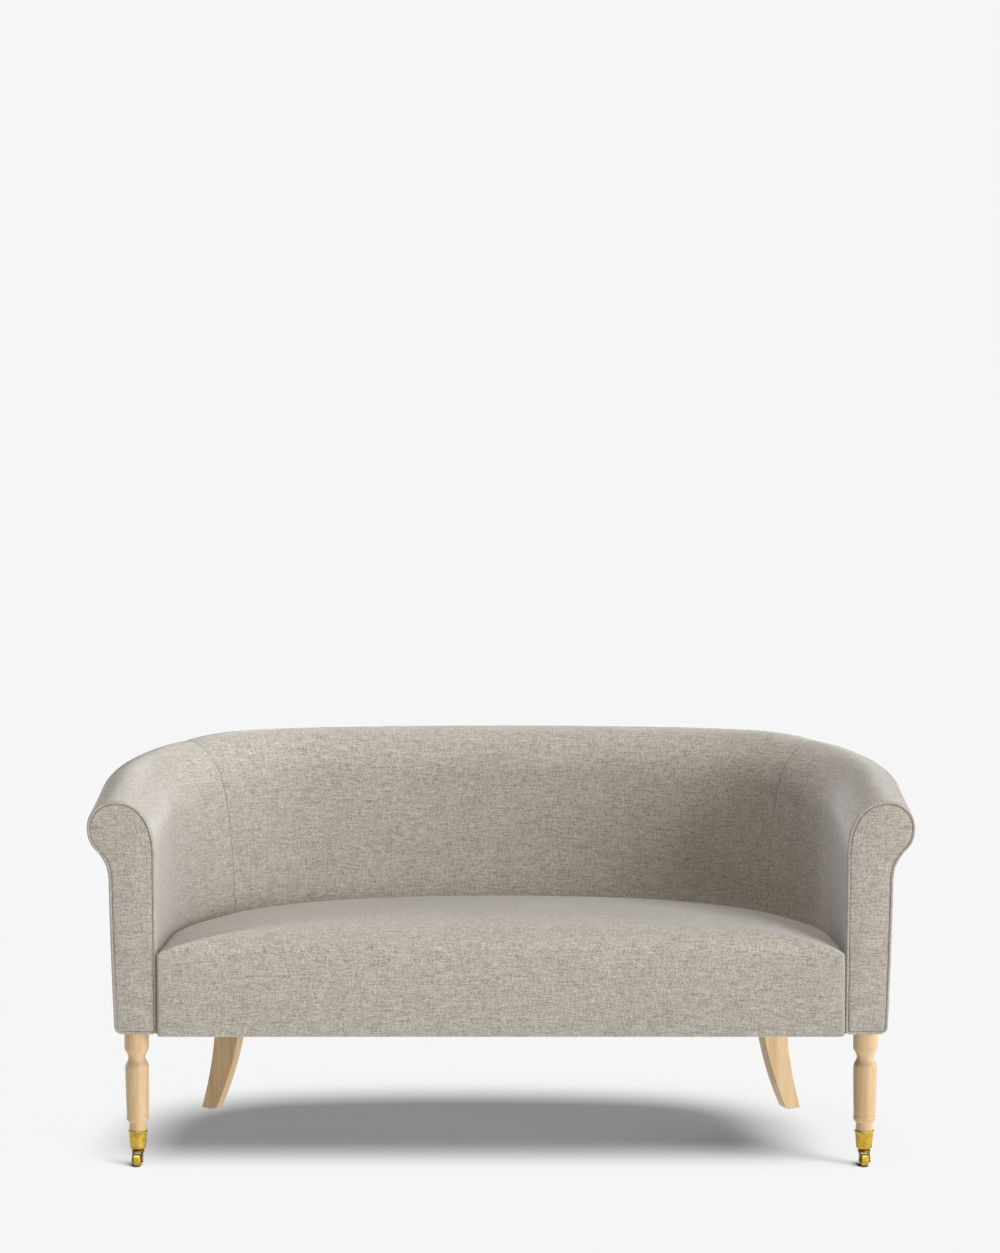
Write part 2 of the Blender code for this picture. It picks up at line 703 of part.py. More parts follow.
def build_front():
    half = block_edge(FRONT_RAIL_BACK)
    box_part("front_rail", (-half, FRONT_RAIL_SETBACK, BASE_Z), (half, FRONT_RAIL_BACK, RAIL_TOP),
             FRAME_WOOD, 0.7)
    back_face = rail_face_depth(STRETCHER_WIDTH / 2) - GAP
    front = FRONT_RAIL_BACK + GAP
    box_part("seat_stretcher", (-STRETCHER_WIDTH / 2, front, BASE_Z + STRETCHER_LIFT),
             (STRETCHER_WIDTH / 2, back_face, RAIL_TOP - STRETCHER_DROP), FRAME_WOOD, 0.7)
    block_levels = (BASE_Z + CORNER_BLOCK_LIFT, RAIL_TOP - CORNER_BLOCK_DROP)
    corner = [(block_edge(front), front), (block_edge(front + CORNER_BLOCK_LEG), front + CORNER_BLOCK_LEG),
              (block_edge(front) - CORNER_BLOCK_LEG, front)]
    for side, word in ((1, "right"), (-1, "left")):
        rings = [[place(side * x, d, z) for x, d in corner] for z in block_levels]
        finish(loft(word + "_corner_block", rings), FRAME_WOOD, 0.7)
    pad_half = ARM_SPREAD - SEAT_GAP - COVER - GAP - SEAT_CORNER
    box_part("front_edge_pad", (-pad_half, -SEAT_PROUD + COVER + GAP, SEAT_FRONT_BASE + GAP),
             (pad_half, FRONT_RAIL_SETBACK - GAP, INSULATOR_BASE - GAP), FOAM, 0.9)


# Seat

SPRING_LEVEL = RAIL_TOP + GAP + SPRING_WIRE
INSULATOR_BASE = SPRING_LEVEL + SPRING_WIRE + GAP
FOAM_BASE = INSULATOR_BASE + INSULATOR + GAP
SEAT_FRONT_BASE = BASE_Z - SEAT_FRONT_DROP


def seat_outline(inset):
    """Plan of the seat, that far in from its cover's surface: round the wall, then along the front."""
    clear = SEAT_GAP + inset
    front = inset - SEAT_PROUD
    corner = SEAT_CORNER
    first = (front + corner + clear * math.sin(ARM_TOE_IN)) / math.cos(ARM_TOE_IN)
    runs = [first] + STATIONS[1:]
    points = []
    for run, side in [(s, 1) for s in runs] + [(s, -1) for s in reversed(runs[:-1])]:
        across, depth, heading = plan_at(run)
        points.append((side * (across - clear * math.cos(heading)), depth - clear * math.sin(heading)))
    half = points[0][0]
    for i in range(1, SEAT_CORNER_STEPS + 1):
        angle = math.pi / 2 * i / SEAT_CORNER_STEPS
        points.append((-half + corner * (1 - math.cos(angle)), front + corner * (1 - math.sin(angle))))
    for i in range(1, SEAT_FRONT_STEPS):
        points.append((-(half - corner) * (1 - 2 * i / SEAT_FRONT_STEPS), front))
    for i in range(SEAT_CORNER_STEPS, 0, -1):
        angle = math.pi / 2 * i / SEAT_CORNER_STEPS
        points.append((half - corner * (1 - math.cos(angle)), front + corner * (1 - math.sin(angle))))
    return points


def seat_edge(across, depth):
    """Height at which the seat's upright sides turn into its crown."""
    back = max(depth, 0.0) / INSIDE_DEPTH
    lift = SEAT_FRONT_LIFT * (1.0 - (across / ARM_SPREAD) ** 2)
    return RAIL_TOP + SEAT_SIDE_RISE + (SEAT_BACK_RISE - SEAT_SIDE_RISE) * back * back + lift


def seat_top_rings(inset):
    """Rings from the foot of the crown in to its middle, a distance under the surface."""
    rim = [place(x, d, seat_edge(*edge)) for (x, d), edge in zip(seat_outline(inset), seat_outline(0.0))]
    level = sum(p.z for p in rim) / len(rim)
    middle = Vector(place(0.0, SEAT_CROWN_DEPTH, level))
    rings = []
    for i in range(SEAT_CROWN_STEPS):
        angle = math.pi / 2 * i / SEAT_CROWN_STEPS
        lift = Vector((0.0, 0.0, (SEAT_CROWN - inset) * math.sin(angle)))
        rings.append([middle + (p - middle) * math.cos(angle) + lift for p in rim])
    return rings


def build_seat():
    outer = seat_outline(0.0)
    inner = seat_outline(COVER)
    hems = [SEAT_FRONT_BASE if d < -SEAT_PROUD / 2 else RAIL_TOP + SEAT_TUCK for _, d in outer]
    outer_hem = [place(x, d, z) for (x, d), z in zip(outer, hems)]
    inner_hem = [place(x, d, z) for (x, d), z in zip(inner, hems)]
    rings = seat_top_rings(0.0)[::-1] + [outer_hem, inner_hem] + seat_top_rings(COVER)
    finish(loft("seat_cover", rings, fan=True), FABRIC, 0.95)

    under = COVER + GAP
    foot = [place(x, d, FOAM_BASE) for x, d in seat_outline(under + FOAM_DRAW_IN)]
    finish(loft("seat_foam", [foot] + seat_top_rings(under), fan=True), FOAM, 0.9)

    outline = seat_outline(under + FOAM_DRAW_IN)
    rings = [[place(x, d, z) for x, d in outline] for z in (INSULATOR_BASE, INSULATOR_BASE + INSULATOR)]
    finish(loft("spring_insulator", rings), FELT, 0.95)


def spring_ends(across):
    """Depths at which a spring's wire ends on the front rail and on the rail behind the wall."""
    return FRONT_RAIL_BACK - SPRING_HOLD, rail_face_depth(across) + SPRING_HOLD


def wire_mesh(name, points, radius, collection):
    """A four-sided wire through the points, as a closed mesh."""
    curve = bpy.data.curves.new(name, "CURVE")
    curve.dimensions = "3D"
    curve.bevel_depth = radius
    curve.bevel_resolution = 0
    curve.use_fill_caps = True
    spline = curve.splines.new("POLY")
    spline.points.add(len(points) - 1)
    for target, point in zip(spline.points, points):
        target.co = (*point, 1.0)
    drawn = add_object(name + "_line", curve, CUTTERS)
    bpy.context.view_layer.update()
    evaluated = drawn.evaluated_get(bpy.context.evaluated_depsgraph_get())
    work = bmesh.new()
    work.from_mesh(bpy.data.meshes.new_from_object(evaluated))
    bmesh.ops.remove_doubles(work, verts=work.verts, dist=WELD)
    bpy.data.objects.remove(drawn, do_unlink=True)
    return mesh_object(name, work, collection)


def spring_line(across):
    """Centre line of one sinuous spring, from the front rail to the rail behind the wall."""
    start, end = spring_ends(abs(across))
    first, last = start + SPRING_HOLD * 2, end - SPRING_HOLD * 2
    points = [(across, start), (across, first)]
    pitch = (last - first) / SPRING_LOOPS
    for loop in range(SPRING_LOOPS):
        swing = SPRING_HALF_WIDTH * (1 if loop % 2 else -1)
        points += [(across + swing, first + pitch * (loop + 0.25)),
                   (across + swing, first + pitch * (loop + 0.75))]
    points += [(across, last), (across, end)]
    return [place(x, d, SPRING_LEVEL) for x, d in points]


def build_springs():
    """Sinuous springs side by side, held together by two tie wires across them."""
    wires = new_collection(OBJECT_NAME + "_spring_wires")
    outer = (SPRING_COUNT - 1) / 2 * SPRING_SPACING
    for i in range(SPRING_COUNT):
        as_cutter(wire_mesh(f"spring_{i}", spring_line(i * SPRING_SPACING - outer), SPRING_WIRE, wires))
    reach = outer + SPRING_HALF_WIDTH + TIE_OVERHANG
    ties = []
    for name, depth in (("seat_springs", TIE_FRONT_DEPTH), ("tie_wire", TIE_BACK_DEPTH)):
        line = [place(-reach, depth, SPRING_LEVEL), place(reach, depth, SPRING_LEVEL)]
        ties.append(wire_mesh(name, line, TIE_WIRE, PARTS if name == "seat_springs" else wires))
    as_cutter(ties[1])
    joined = ties[0].modifiers.new("tied", "BOOLEAN")
    joined.operation = "UNION"
    joined.operand_type = "COLLECTION"
    joined.collection = wires
    finish(ties[0], STEEL, 0.4, 1.0)


# Legs

HORN_PLATE_BASE = 2 * WHEEL_RADIUS + RIVET_HEIGHT + 2 * GAP
HORN_PLATE_TOP = HORN_PLATE_BASE + HORN_PLATE_THICKNESS
CUP_BASE = HORN_PLATE_TOP + HORN_HUB_HEIGHT + GAP
CUP_TOP = CUP_BASE + CUP_HEIGHT
CASTER_FLOOR = CUP_BASE + CUP_FLOOR
LEG_TOP = BASE_Z - GAP


def leg_place(side):
    """Point on the floor under a front leg's axis."""
    depth = LEG_BLOCK_START + LEG_SETBACK
    return place(side * (ARM_SPREAD - depth * math.sin(ARM_TOE_IN) + LEG_OFFSET), depth, 0.0)


def cup_radius(height):
    """Outer radius of the caster cup's tapered wall."""
    share = (height - CUP_BASE) / (CUP_TOP - CUP_BASE)
    return CUP_BASE_RADIUS + (CUP_TOP_RADIUS - CUP_BASE_RADIUS) * share


def swell(start, end):
    """Points of a soft S from one (radius, height) to another, without the first."""
    shares = [i / LEG_CURVE_STEPS for i in range(1, LEG_CURVE_STEPS + 1)]
    return [(start[0] + (end[0] - start[0]) * ease(s), start[1] + (end[1] - start[1]) * s) for s in shares]


def leg_profile():
    """Turned front leg, top to bottom, ending in the taper that fits the caster cup."""
    tip = CASTER_FLOOR + GAP + PIVOT_HEAD_HEIGHT + GAP
    bore_top = cup_radius(CUP_TOP) - CUP_WALL - GAP
    bore_tip = cup_radius(tip) - CUP_WALL - GAP
    seat = CUP_TOP + GAP
    block = (LEG_BLOCK_RADIUS, LEG_TOP - LEG_BLOCK_HEIGHT)
    neck = (LEG_NECK_RADIUS, block[1] - LEG_COVE_HEIGHT)
    barrel = (LEG_BARREL_RADIUS, neck[1] - LEG_SHOULDER_HEIGHT)
    spigot = (LEG_SPIGOT_RADIUS, seat + LEG_SPIGOT_HEIGHT)
    bead = (LEG_BEAD_RADIUS, spigot[1] + LEG_CAVETTO_HEIGHT)
    ankle = (LEG_ANKLE_RADIUS, bead[1] + LEG_BEAD_HEIGHT)
    points = [(0.0, LEG_TOP), (LEG_BLOCK_RADIUS, LEG_TOP), block]
    points += swell(block, neck) + swell(neck, barrel)
    points += [ankle, (LEG_BEAD_RADIUS, (ankle[1] + bead[1]) / 2), bead]
    points += swell(bead, spigot)
    points += [(LEG_SPIGOT_RADIUS, seat), (bore_top, seat), (bore_tip, tip), (0.0, tip)]
    return points


def sabre_centre(height, side):
    """Point on the curved axis of a rear leg, which kicks out towards its foot."""
    plumb = BASE_Z - SABRE_PLUMB
    kick = SABRE_SPLAY * (max(plumb - height, 0.0) / plumb) ** 2
    run = ARM_STRAIGHT + CORNER_RADIUS * (REAR_LEG_HEADING - ARM_TOE_IN)
    top = on_wall(run, side, REAR_LEG_OFFSET, height)
    return top + Vector((side * math.cos(SABRE_ANGLE), math.sin(SABRE_ANGLE), 0.0)) * kick


def sabre_ring(height, side, grow=0.0):
    share = height / LEG_TOP
    depth = SABRE_FOOT + (SABRE_TOP_DEPTH - SABRE_FOOT) * (1 - (1 - share) ** SABRE_SWELL) + 2 * grow
    width = SABRE_FOOT + (SABRE_TOP_WIDTH - SABRE_FOOT) * share + 2 * grow
    out = Vector((side * math.cos(SABRE_ANGLE), math.sin(SABRE_ANGLE), 0.0))
    sideways = Vector((-out.y, out.x, 0.0))
    centre = sabre_centre(height, side)
    corners = ((1, 1), (1, -1), (-1, -1), (-1, 1))
    return [centre + out * depth / 2 * a + sideways * width / 2 * b for a, b in corners]


def rod_part(name, centre, radius, low, high):
    work = bmesh.new()
    add_rod(work, centre, radius, low, high)
    return finish(mesh_object(name, work), STEEL, 0.4, 1.0)


def dust_outline():
    """Plan of the cloth under the seat: inside the outer covers, and behind the front rail's face."""
    points = []
    runs = [POST_START] + STATIONS[1:]
    for run, side in [(s, 1) for s in runs] + [(s, -1) for s in reversed(runs[:-1])]:
        offset = wall_values(run)[3] - DUST_MARGIN
        across, depth, heading = plan_at(run)
        points.append((side * (across + offset * math.cos(heading)), depth + offset * math.sin(heading)))
    first_depth = FRONT_RAIL_SETBACK + DUST_MARGIN
    points[0] = (points[0][0], first_depth)
    points[-1] = (points[-1][0], first_depth)
    return points


def build_dust_cover():
    levels = (LEG_TOP - DUST_CLOTH, LEG_TOP)
    dust = loft("dust_cover", [[place(x, d, z) for x, d in dust_outline()] for z in levels])
    below = LEG_TOP - 2 * DUST_CLOTH
    for side, word in ((1, "right"), (-1, "left")):
        hole = bmesh.new()
        add_rod(hole, leg_place(side), LEG_BLOCK_RADIUS + DUST_CLEARANCE, below, BASE_Z, TURNED_STEPS)
        ring = sabre_ring(LEG_TOP, side, DUST_CLEARANCE)
        add_loft(hole, [[Vector((p.x, p.y, z)) for p in ring] for z in (below, BASE_Z)])
        cut(dust, as_cutter(mesh_object("dust_hole_" + word, hole, CUTTERS)))
    finish(dust, BLACK_CLOTH, 0.95)


def add_leg_bolt(leg, holder, centre):
    """Bolt up the middle of a leg's top into the frame, in a hole cut in both."""
    low, high = LEG_TOP - BOLT_IN_LEG, BASE_Z + BOLT_IN_FRAME
    rod_part(leg.name + "_bolt", centre, BOLT_RADIUS, low, high)
    hole = bmesh.new()
    add_rod(hole, centre, BOLT_RADIUS + BOLT_CLEARANCE, low - BOLT_CLEARANCE, high + BOLT_CLEARANCE)
    cutter = as_cutter(mesh_object("bolt_hole_" + leg.name, hole, CUTTERS))
    cut(leg, cutter)
    cut(holder, cutter)


def build_legs():
    foot = GLIDE_HEIGHT + GAP
    levels = [foot + (LEG_TOP - foot) * i / SABRE_STEPS for i in range(SABRE_STEPS + 1)]
    for side, word in ((1, "right"), (-1, "left")):
        front = turned(word + "_front_leg", leg_profile())
        front.location = leg_place(side)
        rear = loft(word + "_rear_leg", [sabre_ring(z, side) for z in levels])
        rod_part(word + "_rear_glide", sabre_centre(0.0, side), GLIDE_RADIUS, 0.0, GLIDE_HEIGHT)
        add_leg_bolt(front, bpy.data.objects[word + "_leg_block"], leg_place(side))
        add_leg_bolt(rear, bpy.data.objects[word + "_corner_rail"], sabre_centre(LEG_TOP, side))
        finish(front, WOOD, 0.45)
        finish(rear, WOOD, 0.45)


# Casters

def cup_profile():
    bore_top = cup_radius(CUP_TOP) - CUP_WALL
    bore_floor = cup_radius(CASTER_FLOOR) - CUP_WALL
    hole = PIVOT_RADIUS + GAP
    lip_base = CUP_TOP - CUP_LIP_HEIGHT
    waist = lip_base - CUP_LIP_HEIGHT
    return [(bore_top, CUP_TOP), (CUP_LIP_RADIUS, CUP_TOP), (CUP_LIP_RADIUS, lip_base),
            (cup_radius(waist), waist),
            (cup_radius(CASTER_FLOOR), CASTER_FLOOR), (cup_radius(CUP_BASE) - CUP_FLOOR, CUP_BASE),
            (hole, CUP_BASE), (hole, CASTER_FLOOR), (bore_floor, CASTER_FLOOR)]


def pin_profile():
    head_base = CASTER_FLOOR + GAP
    rivet_top = HORN_PLATE_BASE - GAP
    return [(0.0, head_base + PIVOT_HEAD_HEIGHT), (PIVOT_HEAD_RADIUS, head_base + PIVOT_HEAD_HEIGHT),
            (PIVOT_HEAD_RADIUS, head_base), (PIVOT_RADIUS, head_base), (PIVOT_RADIUS, rivet_top),
            (RIVET_RADIUS, rivet_top), (RIVET_TIP_RADIUS, rivet_top - RIVET_HEIGHT),
            (0.0, rivet_top - RIVET_HEIGHT)]


def horn_profile():
    hole = PIVOT_RADIUS + GAP
    hub_top = CUP_BASE - GAP
    return [(hole, hub_top), (HORN_HUB_RADIUS, hub_top), (HORN_HUB_RADIUS, HORN_PLATE_TOP),
            (HORN_PLATE_RADIUS, HORN_PLATE_TOP), (HORN_PLATE_RADIUS, HORN_PLATE_BASE),
            (hole, HORN_PLATE_BASE)]


def wheel_profile():
    half = WHEEL_WIDTH / 2
    bore = AXLE_RADIUS + GAP
    edge = []
    for i in range(WHEEL_EASE_STEPS + 1):
        angle = math.pi / 2 * i / WHEEL_EASE_STEPS
        radius = WHEEL_RADIUS - WHEEL_EASE * (1 - math.sin(angle))
        edge.append((radius, half - WHEEL_EASE * (1 - math.cos(angle))))
    return [(bore, half)] + edge + [(radius, -z) for radius, z in reversed(edge)] + [(bore, -half)]


def cheek_outline():
    """Side of the horn, in the plane of the wheel: from under the plate down to the axle's eye."""
    top = (HORN_PLATE_TOP + HORN_PLATE_BASE) / 2
    points = [(CHEEK_FRONT, top), (-CHEEK_BACK, top)]
    for i in range(CHEEK_STEPS + 1):
        angle = CHEEK_EYE_START + CHEEK_EYE_TURN * i / CHEEK_STEPS
        along = WHEEL_TRAIL + CHEEK_EYE * math.cos(angle)
        points.append((along, WHEEL_RADIUS + CHEEK_EYE * math.sin(angle)))
    return points


def along_axle(angle):
    """Turns a piece made about Z so that it lies along the axle of a wheel that trails at the angle."""
    return Matrix.Rotation(angle, 4, "Z") @ Matrix.Rotation(math.pi / 2, 4, "X")


def axle_rod(name, radius, length, collection=None):
    work = bmesh.new()
    bmesh.ops.create_cone(work, cap_ends=True, segments=CASTER_STEPS, radius1=radius, radius2=radius,
                          depth=length)
    return mesh_object(name, work, collection)


def build_caster(side, word):
    pivot = leg_place(side)
    trail = Vector((side * math.sin(TRAIL_ANGLE), -math.cos(TRAIL_ANGLE), 0.0))
    angle = math.atan2(trail.y, trail.x)
    wheel_centre = pivot + trail * WHEEL_TRAIL + Vector((0.0, 0.0, WHEEL_RADIUS))
    swing = Matrix.Translation(pivot) @ Matrix.Rotation(angle, 4, "Z")

    cup = turned(word + "_caster_cup", cup_profile(), True, CASTER_STEPS)
    pin = turned(word + "_caster_pivot", pin_profile(), False, CASTER_STEPS)
    for item in (cup, pin):
        item.location = pivot
        finish(item, BRASS, 0.25, 1.0)

    horn = turned(word + "_caster_horn", horn_profile(), True, CASTER_STEPS)
    horn.matrix_world = swing
    for edge in (1, -1):
        inner = WHEEL_WIDTH / 2 + GAP
        work = bmesh.new()
        add_loft(work, [[Vector((x, edge * y, z)) for x, z in cheek_outline()]
                        for y in (inner, inner + CHEEK_THICKNESS)])
        cheek = as_cutter(mesh_object(f"{word}_cheek_{edge}", work, CUTTERS))
        cheek.matrix_world = swing
        cut(horn, cheek, "UNION")
    horn_width = WHEEL_WIDTH + 2 * (GAP + CHEEK_THICKNESS)
    bore = as_cutter(axle_rod(word + "_axle_bore", AXLE_RADIUS + GAP, 2 * horn_width, CUTTERS))
    axle = axle_rod(word + "_caster_axle", AXLE_RADIUS, horn_width + 2 * AXLE_STANDOUT)
    wheel = turned(word + "_caster_wheel", wheel_profile(), True, WHEEL_STEPS)
    for item in (bore, axle, wheel):
        item.matrix_world = Matrix.Translation(wheel_centre) @ along_axle(angle)
    cut(horn, bore)
    finish(horn, BRASS, 0.25, 1.0)
    finish(axle, BRASS, 0.25, 1.0)
    finish(wheel, BRASS, 0.3, 1.0)


build_covers_and_pads()
build_arm_fronts()
build_rails()
build_uprights()
build_burlap()
build_front()
build_seat()
build_springs()
build_legs()
build_dust_cover()
for caster_side, caster_word in ((1, "right"), (-1, "left")):
    build_caster(caster_side, caster_word)
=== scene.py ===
"""Looks of the curved settee: tight upholstery in heathered linen, pale turned legs, brass casters.

Metres, +Z up, front facing -Y, in the frame's own coordinates. The wall that arms and back form
together follows the same plan and section as the frame, so each cover lies where its solid does.
"""
import json
import math

import bmesh
import bpy
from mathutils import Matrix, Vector
from mathutils.geometry import delaunay_2d_cdt

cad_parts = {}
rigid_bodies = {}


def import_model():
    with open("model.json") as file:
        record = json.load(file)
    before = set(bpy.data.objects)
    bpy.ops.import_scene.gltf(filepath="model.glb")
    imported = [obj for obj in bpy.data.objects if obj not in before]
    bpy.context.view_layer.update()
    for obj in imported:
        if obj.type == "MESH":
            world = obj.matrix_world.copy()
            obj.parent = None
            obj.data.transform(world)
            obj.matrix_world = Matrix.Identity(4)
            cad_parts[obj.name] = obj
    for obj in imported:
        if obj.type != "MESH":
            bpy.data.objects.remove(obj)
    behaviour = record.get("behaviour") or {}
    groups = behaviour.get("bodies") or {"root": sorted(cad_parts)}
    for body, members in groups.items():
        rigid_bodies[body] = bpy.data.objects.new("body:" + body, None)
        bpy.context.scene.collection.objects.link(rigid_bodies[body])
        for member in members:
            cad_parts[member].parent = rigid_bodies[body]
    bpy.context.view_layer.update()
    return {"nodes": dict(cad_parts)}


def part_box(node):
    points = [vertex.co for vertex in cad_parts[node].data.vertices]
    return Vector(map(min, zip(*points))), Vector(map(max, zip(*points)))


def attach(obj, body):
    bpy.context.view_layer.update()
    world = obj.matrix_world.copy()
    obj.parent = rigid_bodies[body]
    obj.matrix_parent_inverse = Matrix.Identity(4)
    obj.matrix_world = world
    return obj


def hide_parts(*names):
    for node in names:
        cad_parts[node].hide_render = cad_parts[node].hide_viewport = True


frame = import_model()
bpy.ops.object.select_all(action="DESELECT")

SIDES = (("left", -1), ("right", 1))
QUARTER = math.pi / 2
SMOOTH_ANGLE = math.radians(35.0)

# Plan and upright section of the wall, as the frame has them
ARM_SPREAD = 0.632                  # middle of the seat to an arm's inner face, at the front
INSIDE_DEPTH = 0.522                # arm fronts to the inner face at the middle of the back
ARM_TOE_IN = math.radians(2.2)
CORNER_RADIUS = 0.317
BACK_BOW = math.radians(8.5)        # half of the angle that the long back turns through
ARM_TOP = 0.6875
BACK_TOP = 0.755
BASE_Z = 0.2547                     # underside of the frame and of the wall's covers
ROLL_RADIUS = 0.050
ROLL_OFFSET = 0.070                 # inner face to the roll's centre line
ROLL_END = math.radians(-45.0)      # where the roll's cover is sewn to the outside cover
SHOULDER_HEIGHT = 0.100
SHOULDER_POWER = 2.2
UNDERCUT = 0.030
ARM_OUTER_TOP = 0.0805
ARM_OUTER_BASE = 0.0770
BACK_OUTER_TOP = 0.104
BACK_OUTER_BASE = 0.108
BACK_RAKE = math.radians(6.0)
LEAN_START = 0.394
RISE_SHARE = 0.50
RISE_POWER = 1.2
RAKE_SHARE = 0.90
THICKEN_SHARE = 0.42
EDGE_ROUND = 0.014                  # rounding of the wall's lower outer edge
CORNER_ROUND = 0.007                # rounding of an arm front's lower inner corner
LEAST_ROUND = 0.0004
RAIL_TOP = 0.329
PAD_BASE = 0.3365                   # inside covers stop here, hidden beside the seat

# Seat
SEAT_GAP = 0.0005
SEAT_PROUD = 0.012                  # seat front ahead of the arm fronts
SEAT_HEM = 0.004                    # roundness of the seat's lower edge
SEAT_FRONT_BASE = 0.2528            # foot of the apron
SEAT_TUCK = RAIL_TOP + 0.0102       # where the lower edge starts beside the arms and back
SEAT_TURN_IN = 0.014
SEAT_SIDE = RAIL_TOP + 0.074        # foot of the seat's crown at the arm fronts
SEAT_BACK = RAIL_TOP + 0.060        # and at the back
SEAT_FRONT_LIFT = 0.010
SEAT_CROWN = 0.055                  # a quarter ellipse, this high at its middle
SEAT_CROWN_DEPTH = 0.220            # its highest point behind the arm fronts
SEAT_NOSE_TURN = math.radians(30.0)      # of that quarter turn, what the upright rings take
SEAT_CORNER = 0.006
APRON_RETURN = 0.012                # the apron turns in beside the arms this far behind their fronts
SEAT_SIDE_STEPS = 42
SEAT_ACROSS_STEPS = 116
SEAT_CORNER_STEPS = 3               # of each half of a front corner
ROUND_STEPS = 7
SEAT_WALL_STEPS = 4
SEAT_HEM_TURNS = (0.35, 0.7, 1.0)
SEAT_SWELL = 0.005
SEAT_RIM_DROP = 0.02                # beside the wall the seat is held from this far below its rim

# Sewing
CLOTH = 0.0022                      # cloth with its wadding
FACING_CLOTH = 0.0018
COVER_SWELL = 0.004
SEAM_ROUND = 0.003                  # an edge rolls in like this where two covers are sewn together
CORNER_SEAM_ROUND = 0.0018          # and like this at the flat seams in the back corners
SEAM_SHIFT = 0.037                  # the seam lies this far towards the back at the seat,
SEAM_LOW, SEAM_HIGH = 0.424, 0.738  # and comes forward between these heights
SEAM_VALLEY = 0.0022                # padding is pulled in along the seam
SEAM_VALLEY_REACH = 0.018
SEAM_DEPTH = 0.003                  # and then goes straight in
SEAM_CLEAR = 0.012                  # even columns stop this far from it
SEAM_STEPS = (2.4, 1.4, 0.8, 0.4, 0.13, 0.0)      # of an edge's roundness
FRONT_TUCK = ((0.0060, 0.0090), (0.0042, 0.0050), (0.0030, 0.0028))      # (run, inset) behind the welt
FRONT_EDGE = 0.0026                 # covers start behind the welt, this far behind an arm's front,
FRONT_WRAP = 0.0016                 # with this roundness
FRONT_STEP, ARM_STEP, BACK_STEP = 0.008, 0.0085, 0.009
POST_REACH = 0.0245                 # depth of an arm's scroll board, where covers go down to the base
INNER_PROUD = 0.002                 # padding stands this far proud of the solids, on the inner face,
ROLL_PROUD = 0.0030                 # at the roll's widest,
HOLLOW_PROUD = 0.0058               # under the roll,
OUTER_PROUD = 0.0038                # and on the upper and lower part of the outer face
FOOT_PROUD = 0.0008
OUTER_FULL = 0.0008                 # bow of the outer face between them
WELT_RADIUS = 0.0024
WELT_INSET = 0.0034
WELT_BACK = 0.0012                  # welt's middle behind the arm's front
WELT_SIDES = 12
FACING_INSET = 0.0056
FACING_RINGS = ((0.0, 0.0030), (0.0004, 0.0016), (0.0012, 0.0005), (0.0026, -0.0003), (0.0050, -0.0009))
FACING_DOME = 0.0016
FACING_DOME_REACH = 0.03
FACING_STEP, FACING_CLEAR = 0.008, 0.005


# Lines

def ease(share):
    share = min(max(share, 0.0), 1.0)
    return share * share * (3.0 - 2.0 * share)


def evenly(start, end, count):
    return [start + (end - start) * i / count for i in range(count + 1)]


def spread(start, end, step):
    return evenly(start, end, max(1, round(abs(end - start) / step)))


def arc(centre, radius, start, end, steps, rise=None):
    """Points of a circle's arc, or of an ellipse's where it has its own rise."""
    rise = radius if rise is None else rise
    return [(centre[0] + radius * math.cos(a), centre[1] + rise * math.sin(a))
            for a in evenly(start, end, steps)]


def along_line(points, share):
    """Point at a share of the length of a line of points."""
    lengths = [math.dist(a, b) for a, b in zip(points, points[1:])]
    left = share * sum(lengths)
    for a, b, length in zip(points, points[1:], lengths):
        if left <= length:
            part = left / length if length else 0.0
            return tuple(p + (q - p) * part for p, q in zip(a, b))
        left -= length
    return points[-1]


# The wall

def solve_plan():
    """Straight length of an arm and radius of the back, so that the wall closes at its middle."""
    sin_a, cos_a = math.sin(ARM_TOE_IN), math.cos(ARM_TOE_IN)
    sin_b, cos_b = math.sin(BACK_BOW), math.cos(BACK_BOW)
    across = ARM_SPREAD - CORNER_RADIUS * (cos_a - sin_b)
    depth = INSIDE_DEPTH - CORNER_RADIUS * (cos_b - sin_a)
    determinant = sin_a * (1.0 - cos_b) - sin_b * cos_a
    straight = (across * (1.0 - cos_b) - sin_b * depth) / determinant
    radius = (sin_a * depth - cos_a * across) / determinant
    return straight, radius


ARM_STRAIGHT, BACK_RADIUS = solve_plan()
CORNER_LENGTH = CORNER_RADIUS * (QUARTER - BACK_BOW - ARM_TOE_IN)
CORNER_END = ARM_STRAIGHT + CORNER_LENGTH
HALF_WALL = CORNER_END + BACK_RADIUS * BACK_BOW
SEAM_RUN = ARM_STRAIGHT + CORNER_LENGTH / 2       # arm covers meet the back's half way round the corner
BENDS = ((ARM_STRAIGHT, CORNER_LENGTH, CORNER_RADIUS), (CORNER_END, math.inf, BACK_RADIUS))


def plan_at(run):
    """(across, depth, heading) at a distance along the right half of the wall from the arm's front."""
    heading = ARM_TOE_IN
    across = ARM_SPREAD - min(run, ARM_STRAIGHT) * math.sin(heading)
    depth = min(run, ARM_STRAIGHT) * math.cos(heading)
    for start, length, radius in BENDS:
        if run > start:
            turned = heading + min(run - start, length) / radius
            across -= radius * (math.cos(heading) - math.cos(turned))
            depth += radius * (math.sin(turned) - math.sin(heading))
            heading = turned
    return across, depth, heading


